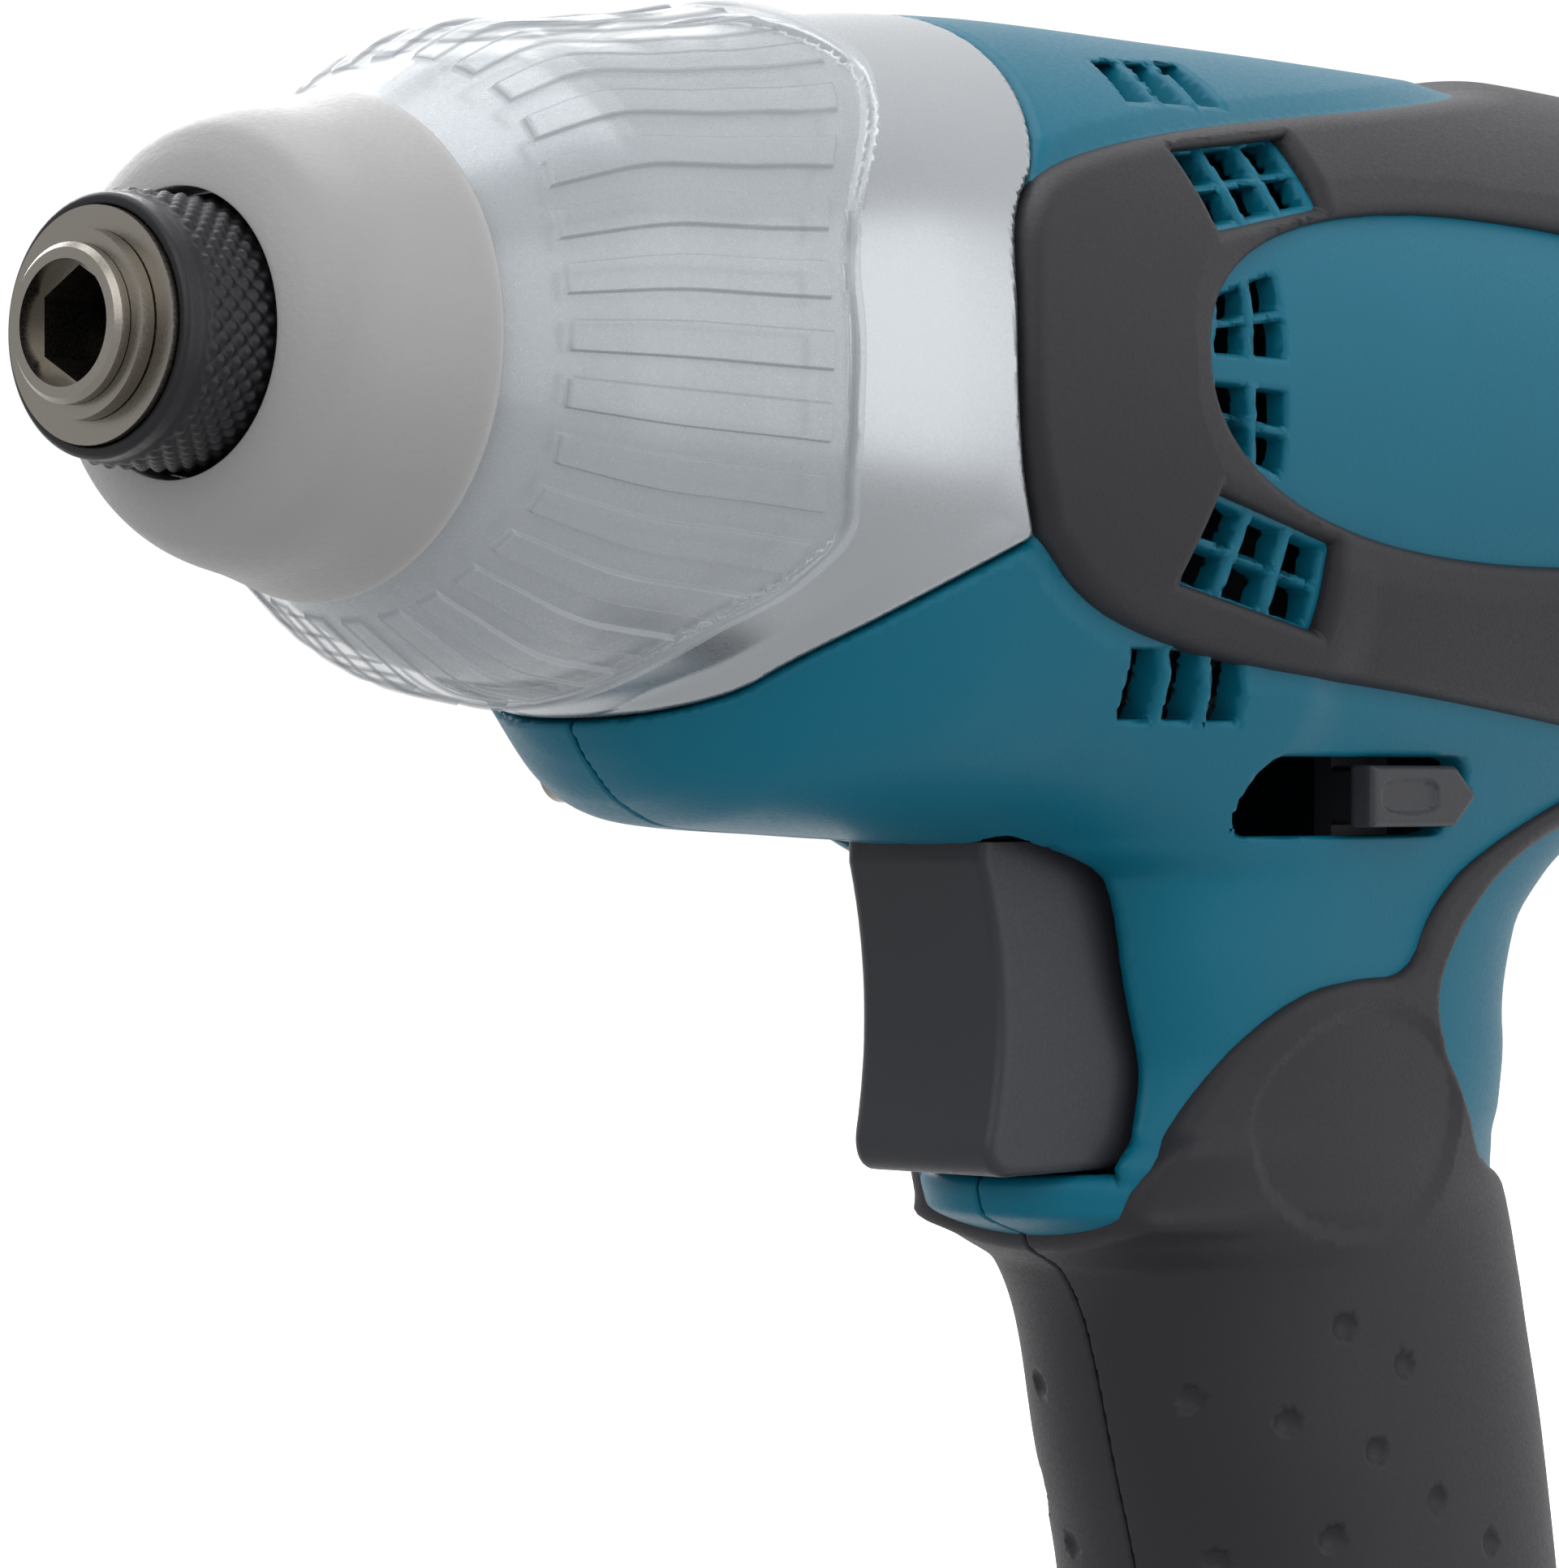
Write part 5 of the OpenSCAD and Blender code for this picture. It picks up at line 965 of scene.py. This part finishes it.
# Grid lines that surfaces are found on, in millimetres: from each place on, in steps of the size beside it.
HOUSING_X = ((44, .65), (78, .55), (131, 1.3), (185, 1))
HOUSING_Y = ((-.5, .25), (1.5, .75), (33.2, 1))
HOUSING_Z = ((-141, 1.3), (-64, .8), (-34, .6), (33, 1))
RUBBER_X = ((60, .45), (84, .55), (152, .8), (186, 1))
RUBBER_Y = ((-.5, .25), (1.5, .6), (34, 1))
RUBBER_Z = ((-134, .6), (35, 1))
CASE_X = ((11, .8), (40, .45), (84, 1))
CASE_ACROSS = ((-31.4, .6), (31.6, 1))
TRIGGER_GRID = (((82, .4), (118, 1)), ((-10, .4), (10, 1)), ((-60, .4), (-33, 1)))
LEVER_GRID = (((111, .3), (131, 1)), ((-24, .3), (-12, 1)), ((-36, .3), (-23, 1)))
SIDES = ((-1, "left"), (1, "right"))


class DRIVER_OT_housing(Operator):
    """Makes the two moulded housing halves"""

    bl_idname = "driver.housing"
    bl_label = "Housing halves"

    def execute(self, context):
        for side, name in SIDES:
            ys = np.sort(side * lines(*HOUSING_Y))
            dress("housing_" + name, "housing", "teal_plastic",
                  lambda x, y, z: body().shell(x, y, z, side), lines(*HOUSING_X), ys, lines(*HOUSING_Z))
        return {"FINISHED"}


class DRIVER_OT_overmould(Operator):
    """Makes the two halves of the rubber overmould"""

    bl_idname = "driver.overmould"
    bl_label = "Rubber overmould"

    def execute(self, context):
        for side, name in SIDES:
            ys = np.sort(side * lines(*RUBBER_Y))
            dress("overmould_" + name, "housing", "dark_rubber",
                  lambda x, y, z: body().rubber(x, y, z, side), lines(*RUBBER_X), ys, lines(*RUBBER_Z))
        return {"FINISHED"}


def cover_radius(x):
    """Outer radius of the clear cover: its cone, then the barrel's own line with the rim's step."""
    cone = curve([(mm("cover_x") + s * mm("cover_len"), t * mm("cover_r")) for s, t in COVER_SHARES])
    join = mm("cover_x") + mm("cover_len")
    step = mm("cover_r") - body().radius(np.array(join))
    return np.where(x < join, cone(x), body().radius(x) + step)


def cover_edge(angle):
    """Rear edge of the clear cover by angle from the top, in degrees: it slants from the top rear to the
    chin."""
    return mm("barrel_x") + curve(COVER_EDGE)(angle) * mm("barrel_len")


# Hammer case, in millimetres: its step behind the clear cover, its skirt, spigot and nose.
COVER_GAP = .12
COVER_LAP = 2
STEP_GAP = .1
STEP_LEAN = 1.2
STEP_ROUND = .3
REAR_EDGE_ROUND = .8
SKIRT_RUN = 6
SKIRT_ROUND = 5
SKIRT_FILLET = 4
SPIGOT_SUNK = 2.9
SPIGOT_END = 78.3
NOSE_R = 12
NOSE_START = 12.3
NOSE_JOIN = 22.4
NOSE_END = 23
# Bores of the case: from, to, radius.
CASE_BORES = ((0, 20, 9.05), (19, 31, 8.55), (30.9, 38.5, 17.2), (38.4, 90, 20.6))


def case_form(x, y, z):
    """The hammer case: a cone under the clear cover, a band behind the cover's edge that runs down to the
    chin in a skirt, a spigot inside the housing and a nose, less its bores."""
    r = np.hypot(y, z)
    edge = cover_edge(np.degrees(np.arctan2(np.abs(y), z)))
    cone = np.maximum(r - (cover_radius(x) - mm("cover_t") - COVER_GAP), x - edge - COVER_LAP)
    front = body().front(x, z)
    skirt = rounded_max(body().chin(x, y, z), front - SKIRT_RUN, SKIRT_ROUND)
    band = blend_min(r - body().radius(x), skirt, SKIRT_FILLET)
    bare = rounded_max(band, (edge + STEP_GAP - x) / STEP_LEAN, STEP_ROUND)
    shown = rounded_max(np.minimum(cone, bare), STEP_GAP - front, REAR_EDGE_ROUND)
    ends = np.maximum(mm("barrel_x") - x, x - SPIGOT_END)
    spigot = np.maximum(r - body().radius(x) + SPIGOT_SUNK, ends)
    nose = np.maximum(r - NOSE_R, x - NOSE_END)
    solid = np.where(x < NOSE_JOIN, nose, np.minimum(shown, spigot))
    for low, high, hole in CASE_BORES:
        solid = np.maximum(solid, -overlap(r - hole, low - x, x - high))
    return np.maximum(solid, NOSE_START - x)


class DRIVER_OT_case(Operator):
    """Makes the silver hammer case"""

    bl_idname = "driver.case"
    bl_label = "Hammer case"

    def execute(self, context):
        across = lines(*CASE_ACROSS)
        dress("hammer_case", "housing", "silver_alloy", case_form, lines(*CASE_X), across, across)
        return {"FINISHED"}


# Ribs of the clear cover, in degrees from a rib's middle: grid lines, half width, and width of a flank.
RIB_LINES = (-3.3, -3, -2.7, -1.4, 0, 1.4, 2.7, 3, 3.3, 4.4)
RIB_HALF = 3.3
RIB_FLANK = .6
# Along the cover, as shares of its length: grid lines, the ribs' ends, and the lip with a line of painted
# shadow.
COVER_LINE_SHARES = np.concatenate([
    np.linspace(0, .14, 8), [.15, .157, .164], np.linspace(.18, .86, 40), [.885, .892, .899],
    np.linspace(.915, .95, 3), [.955, .962, .97, .985, .992, 1]])
RIB_START_SHARE = .15
RIB_END_SHARE = .899
RIB_RAMP_SHARE = .014
LIP_START_SHARE = .955
LIP_END_SHARE = .985
LIP_RAMP_SHARE = .015
# Painted shadow: the thin line along the lip that the clear finish darkens.
LIP_SHADOW_SHARE = .962
LIP_SHADOW_HALF_SHARE = .004
# Height of the lip and its fall at the very edge, in millimetres.
LIP_H = .4
LIP_FALL = .2
# Edges of the cover sharper than this many degrees stay sharp.
COVER_SHARP = 24


class DRIVER_OT_cover(Operator):
    """Makes the clear ribbed cover"""

    bl_idname = "driver.cover"
    bl_label = "Clear cover"

    def execute(self, context):
        count = context.scene.driver_sizes.rib_count
        period = 360 / count
        offsets = np.array(RIB_LINES + (period / 2,))
        angle = np.sort((np.arange(count)[:, None] * period + offsets[None, :]).ravel() % 360)
        from_top = np.where(angle > 180, 360 - angle, angle)
        off_rib = np.abs((angle + period / 2) % period - period / 2)
        across = np.clip((RIB_HALF - off_rib) / RIB_FLANK, 0, 1)
        share = COVER_LINE_SHARES[:, None]
        x = mm("cover_x") + share * (cover_edge(from_top) - mm("cover_x"))[None, :]
        along = (np.clip((share - RIB_START_SHARE) / RIB_RAMP_SHARE, 0, 1)
                 * np.clip((RIB_END_SHARE - share) / RIB_RAMP_SHARE, 0, 1))
        lip = (LIP_H * np.clip((share - LIP_START_SHARE) / LIP_RAMP_SHARE, 0, 1)
               - LIP_FALL * np.clip((share - LIP_END_SHARE) / LIP_RAMP_SHARE, 0, 1))
        rise = across[None, :] * along
        outer = cover_radius(x) + mm("rib_h") * rise + lip
        inner = cover_radius(x) - mm("cover_t")
        loop_x = np.concatenate([x, x[::-1]])
        loop_r = np.concatenate([outer, inner[::-1]])
        turn = np.radians(angle)[None, :]
        points = np.stack([loop_x, -loop_r * np.sin(turn), loop_r * np.cos(turn)], -1)
        made = make_mesh("case_cover_skin", points.reshape(-1, 3), grid_faces(len(loop_x), len(angle)))
        made.data.set_sharp_from_angle(angle=np.radians(COVER_SHARP))
        # Painted shade: a mask largest halfway up each rib's flank, plus a thin line of painted shadow at the
        # lip. The clear finish darkens these and makes them more opaque, and the inner wall gets none.
        flank = np.maximum(4 * rise * (1 - rise), np.abs(share - LIP_SHADOW_SHARE) < LIP_SHADOW_HALF_SHARE)
        flank = np.concatenate([flank, 0 * flank]).astype(np.float32)
        made.data.attributes.new("flank", "FLOAT", "POINT").data.foreach_set("value", flank.ravel())
        settle(outward(made), "housing", "clear_plastic", "case_cover")
        return {"FINISHED"}


# Turned pieces: longest step along a profile, in millimetres.
PROFILE_STEP = .8
# Nose bumper, in millimetres: its bore, the chamfer at the bore's rear and the hole in its front.
BUMPER_BORE_R = 12.1
BUMPER_REAR_R = 14
BUMPER_CHAMFER = 2.4
BUMPER_SEAT_X = 12.2
BUMPER_FRONT_R = 9.35
BUMPER_COLUMNS = 160
BUMPER_LINE_SHARES = np.concatenate([np.linspace(0, .12, 14), np.linspace(.14, .97, 40), [.98, .99, 1]])


class DRIVER_OT_bumper(Operator):
    """Makes the nose bumper"""

    bl_idname = "driver.bumper"
    bl_label = "Nose bumper"

    def execute(self, context):
        low, high = (node_size("bumper", k, 0) for k in (0, 1))
        r = node_size("bumper", 1, 2)
        shape = curve([(low + s * (high - low), t * r) for s, t in BUMPER_SHARES])
        x = BUMPER_LINE_SHARES * (high - low) + low
        outer = np.stack([x, shape(x)], 1)
        inner = np.array([(high, BUMPER_REAR_R), (high - BUMPER_CHAMFER, BUMPER_BORE_R),
                          (BUMPER_SEAT_X, BUMPER_BORE_R), (BUMPER_SEAT_X, BUMPER_FRONT_R),
                          (low, BUMPER_FRONT_R)])
        profile = fill_in(np.concatenate([outer, inner]), PROFILE_STEP)
        settle(turned("bumper_skin", profile, BUMPER_COLUMNS), "housing", "grey_rubber", "bumper")
        return {"FINISHED"}


# Release sleeve, in millimetres: where its knurl starts and ends behind its front, and the knurl's size.
KNURL_START = 1.6
KNURL_END = 10.4
KNURL_R = 8.6
KNURL_LEAST_R = 8.3
KNURL_H = .3
KNURL_FADE = .3
# Outline of the sleeve: what each point is measured from, how far behind that it lies, and its radius.
SLEEVE_OUTLINE = [
    ("front", 0, 7.6), ("front", 0, 8.1), ("front", .3, 8.4), ("knurl", -.3, 8.4), ("knurl", 0, KNURL_R),
    ("collar", 0, KNURL_R), ("collar", .3, 8.4), ("collar", .7, 8.95), ("collar", 2.4, 8.95),
    ("collar", 2.8, 8.3), ("rear", 0, 8.3), ("rear", 0, 6.9), ("front", 14, 6.8), ("front", 10.3, 5.8),
    ("front", 7.5, 5.8), ("front", 7.5, 7.6)]
SLEEVE_ROUND = .15
SLEEVE_ROUND_STEPS = 3
SLEEVE_STEP = .2
TOOTH_COLUMNS = 8


class DRIVER_OT_sleeve(Operator):
    """Makes the knurled release sleeve"""

    bl_idname = "driver.sleeve"
    bl_label = "Release sleeve"

    def execute(self, context):
        low, high = (node_size("sleeve", k, 0) for k in (0, 1))
        starts = {"front": low, "knurl": low + KNURL_START, "collar": low + KNURL_END, "rear": high}
        outline = [(starts[start] + behind, r) for start, behind, r in SLEEVE_OUTLINE]
        profile = fill_in(round_corners(outline, SLEEVE_ROUND, SLEEVE_ROUND_STEPS), SLEEVE_STEP)
        teeth = int(2 * np.pi * KNURL_R / mm("knurl_pitch"))

        def swell(rows, angle):
            """Bumps where two slanting waves round the sleeve both rise, over the knurled length only."""
            x, r = rows[:, :1], rows[:, 1:2]
            on = (np.clip((x - starts["knurl"]) / KNURL_FADE, 0, 1)
                  * np.clip((starts["collar"] - x) / KNURL_FADE, 0, 1) * (r > KNURL_LEAST_R))
            run = 2 * np.pi * x / mm("knurl_pitch")
            one = .5 + .5 * np.sin(teeth * angle + run)
            other = .5 + .5 * np.sin(teeth * angle - run)
            return KNURL_H * on * np.sqrt(one * other)

        made = turned("sleeve_skin", profile, teeth * TOOTH_COLUMNS, swell)
        settle(made, "sleeve", "black_steel", "sleeve")
        return {"FINISHED"}


# Trigger, in millimetres: its finger face, foot, top, sides and rear, and its stem.
TRIGGER_FACE_X = 87.6
TRIGGER_HOLLOW = 2.1
TRIGGER_HALF_H = 11.8
TRIGGER_FOOT_ROUND = 3.2
TRIGGER_TOP = 14.7
TRIGGER_TOP_ROUND = .8
TRIGGER_FRONT = 86
TRIGGER_HALF_W = 6.7
TRIGGER_SPREAD = .11
TRIGGER_SIDE_ROUND = .9
TRIGGER_REAR = 103.5
TRIGGER_REAR_ROUND = .5
TRIGGER_STEM_R = 2.6
TRIGGER_STEM_Z = -44.5
TRIGGER_STEM_START = 102
TRIGGER_STEM_END = 116.5


def trigger_form(x, y, z):
    """A block whose sides spread towards the rear and whose finger face is hollow: flat across, with its
    place along the tool following a parabola in height. A round stem stands behind it."""
    up = z - TRIGGER_Z
    face = TRIGGER_FACE_X - TRIGGER_HOLLOW * np.minimum((up / TRIGGER_HALF_H) ** 2, 1)
    block = rounded_max(face - x, -TRIGGER_HALF_H - up, TRIGGER_FOOT_ROUND)
    block = rounded_max(block, up - TRIGGER_TOP, TRIGGER_TOP_ROUND)
    side = np.abs(y) - TRIGGER_HALF_W - TRIGGER_SPREAD * (x - TRIGGER_FRONT)
    block = rounded_max(block, side, TRIGGER_SIDE_ROUND)
    block = rounded_max(block, x - TRIGGER_REAR, TRIGGER_REAR_ROUND)
    ends = np.maximum(TRIGGER_STEM_START - x, x - TRIGGER_STEM_END)
    stem = np.maximum(np.hypot(y, z - TRIGGER_STEM_Z) - TRIGGER_STEM_R, ends)
    return np.minimum(block, stem)


# Reversing lever, in millimetres: its finger plate with a point and a dish, its stem, and its inner plate.
LEVER_FRONT = 114.2
LEVER_TIP_X = 129.4
LEVER_TIP_LEAN = 1.3
LEVER_HALF_H = 2.4
LEVER_OUTER_Y = -22.6
LEVER_INNER_Y = -20.1
LEVER_ROUND = .6
LEVER_DISH_X = 119.5
LEVER_DISH_HALF_L = 4.2
LEVER_DISH_HALF_H = 1.5
LEVER_DISH_SQUARE = 3
LEVER_DISH_RIM = .5
LEVER_DISH_DEPTH = .35
LEVER_STEM_X = 123.8
LEVER_STEM_HALF_L = 4
LEVER_STEM_Y = -17.5
LEVER_STEM_HALF_D = 3.4
LEVER_STEM_HALF_H = 2.1
LEVER_PLATE_Y = -14.1
LEVER_PLATE_HALF_D = .9
LEVER_PLATE_HALF_H = 5


def lever_form(x, y, z):
    """A finger plate with a pointed rear end and a hollow top, a stem through the slot and a plate inside the
    wall."""
    across = np.abs(z - LEVER_Z)
    tip = (x + across * LEVER_TIP_LEAN - LEVER_TIP_X) / np.hypot(1, LEVER_TIP_LEAN)
    outline = overlap(across - LEVER_HALF_H, tip, LEVER_FRONT - x)
    dish = oval_distance(x - LEVER_DISH_X, z - LEVER_Z, LEVER_DISH_HALF_L, LEVER_DISH_HALF_H,
                         LEVER_DISH_SQUARE)
    hollow = LEVER_DISH_DEPTH * np.clip(-dish / LEVER_DISH_RIM, 0, 1)
    faces = np.maximum(LEVER_OUTER_Y + hollow - y, y - LEVER_INNER_Y)
    knob = rounded_max(outline, faces, LEVER_ROUND)
    along = np.abs(x - LEVER_STEM_X) - LEVER_STEM_HALF_L
    stem = overlap(along, np.abs(y - LEVER_STEM_Y) - LEVER_STEM_HALF_D, across - LEVER_STEM_HALF_H)
    plate = overlap(along, np.abs(y - LEVER_PLATE_Y) - LEVER_PLATE_HALF_D, across - LEVER_PLATE_HALF_H)
    return np.minimum(np.minimum(knob, stem), plate)


class DRIVER_OT_controls(Operator):
    """Makes the trigger and the reversing lever"""

    bl_idname = "driver.controls"
    bl_label = "Trigger and lever"

    def execute(self, context):
        dress("trigger", "trigger", "black_plastic", trigger_form, *(lines(*row) for row in TRIGGER_GRID))
        dress("reversing_lever", "lever", "black_plastic", lever_form, *(lines(*row) for row in LEVER_GRID))
        return {"FINISHED"}


# Springs: node, body, radius of the wire in millimetres, turns.
SPRINGS = [("hammer_spring", "spindle", .95, 3), ("sleeve_spring", "anvil", .38, 3)]
TURN_STEPS = 36
WIRE_SIDES = 10


class DRIVER_OT_springs(Operator):
    """Winds the hammer spring and the sleeve spring"""

    bl_idname = "driver.springs"
    bl_label = "Springs"

    def execute(self, context):
        for node, body_name, wire, turns in SPRINGS:
            low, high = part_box(node)
            x0, x1 = low.x / MM, high.x / MM
            coil = high.z / MM - wire
            t = np.linspace(0, 1, TURN_STEPS * turns + 1)[:, None]
            b = np.linspace(0, 2 * np.pi, WIRE_SIDES, endpoint=False)[None, :]
            run = x1 - x0 - 2 * wire
            turn = 2 * np.pi * turns * t
            out = coil + wire * np.cos(b)
            along = x0 + wire + run * t + wire * np.sin(b)
            points = np.stack([along, out * np.cos(turn), out * np.sin(turn)], -1)
            ends = points[[0, -1]].mean(1)[:, None].repeat(WIRE_SIDES, 1)
            points = np.concatenate([ends[:1], points, ends[1:]])
            first = np.arange(len(points) - 1)[:, None] * WIRE_SIDES
            a = first + np.arange(WIRE_SIDES)
            n = first + (np.arange(WIRE_SIDES) + 1) % WIRE_SIDES
            faces = np.stack([a, n, n + WIRE_SIDES, a + WIRE_SIDES], -1).reshape(-1, 4)
            made = outward(make_mesh(node + "_wire", points.reshape(-1, 3), faces))
            settle(made, body_name, "bare_steel", node)
        return {"FINISHED"}


# Cord gland, in millimetres: its bore, its top, and its outline as heights over its base and radii.
GLAND_BORE_R = 4.2
GLAND_TOP_R = 9
GLAND_OUTLINE = [(0, GLAND_BORE_R), (0, 9.8), (1.2, 11), (2.35, 11), (2.35, 9), (5.5, 9), (5.5, 11), (8, 11)]
GLAND_ROUND = .4
GLAND_COLUMNS = 96


class DRIVER_OT_gland(Operator):
    """Makes the cord gland in the foot"""

    bl_idname = "driver.gland"
    bl_label = "Cord gland"

    def execute(self, context):
        low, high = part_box("cord_gland")
        mid = (low.x + high.x) / 2 / MM
        base, top = low.z / MM, high.z / MM
        outline = [(base + up, r) for up, r in GLAND_OUTLINE] + [(top, GLAND_TOP_R), (top, GLAND_BORE_R)]
        profile = fill_in(round_corners(outline, GLAND_ROUND), PROFILE_STEP)
        angle = np.linspace(0, 2 * np.pi, GLAND_COLUMNS, endpoint=False)[None, :]
        z, r = profile[:, :1], profile[:, 1:2]
        points = np.stack([mid + r * np.cos(angle), r * np.sin(angle), z + 0 * angle], -1).reshape(-1, 3)
        made = outward(make_mesh("cord_gland_skin", points, grid_faces(len(profile), GLAND_COLUMNS)))
        settle(made, "housing", "dark_rubber", "cord_gland")
        return {"FINISHED"}


class DRIVER_OT_inner(Operator):
    """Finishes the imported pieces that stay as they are"""

    bl_idname = "driver.inner"
    bl_label = "Inner pieces"

    def execute(self, context):
        for part in frame["record"]["subparts"]:
            if part["node"] not in replaced:
                mesh = frame["nodes"][part["node"]].data
                mesh.materials.clear()
                mesh.materials.append(material(part["material_slot"]))
        return {"FINISHED"}


class DRIVER_PT_panel(Panel):
    """Lists the makers"""

    bl_idname = "DRIVER_PT_panel"
    bl_label = "Impact Driver"
    bl_space_type = "VIEW_3D"
    bl_region_type = "UI"
    bl_category = "Driver"

    def draw(self, context):
        for maker in MAKERS:
            self.layout.operator(maker.bl_idname)
        for group in (context.scene.driver_sizes, context.scene.driver_colours):
            for key in group.bl_rna.properties.keys():
                if key not in {"rna_type", "name"}:
                    self.layout.prop(group, key)


MAKERS = [DRIVER_OT_stage, DRIVER_OT_housing, DRIVER_OT_overmould, DRIVER_OT_case, DRIVER_OT_cover,
          DRIVER_OT_bumper, DRIVER_OT_sleeve, DRIVER_OT_controls, DRIVER_OT_springs, DRIVER_OT_gland,
          DRIVER_OT_inner]
CLASSES = [DriverSizes, DriverColours] + MAKERS + [DRIVER_PT_panel]


def register():
    for item in CLASSES:
        bpy.utils.register_class(item)
    bpy.types.Scene.driver_sizes = PointerProperty(type=DriverSizes)
    bpy.types.Scene.driver_colours = PointerProperty(type=DriverColours)


def unregister():
    del bpy.types.Scene.driver_colours
    del bpy.types.Scene.driver_sizes
    for item in reversed(CLASSES):
        bpy.utils.unregister_class(item)


def main():
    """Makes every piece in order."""
    register()
    for maker in MAKERS:
        group, name = maker.bl_idname.split(".")
        getattr(getattr(bpy.ops, group), name)()


if __name__ == "__main__":
    main()
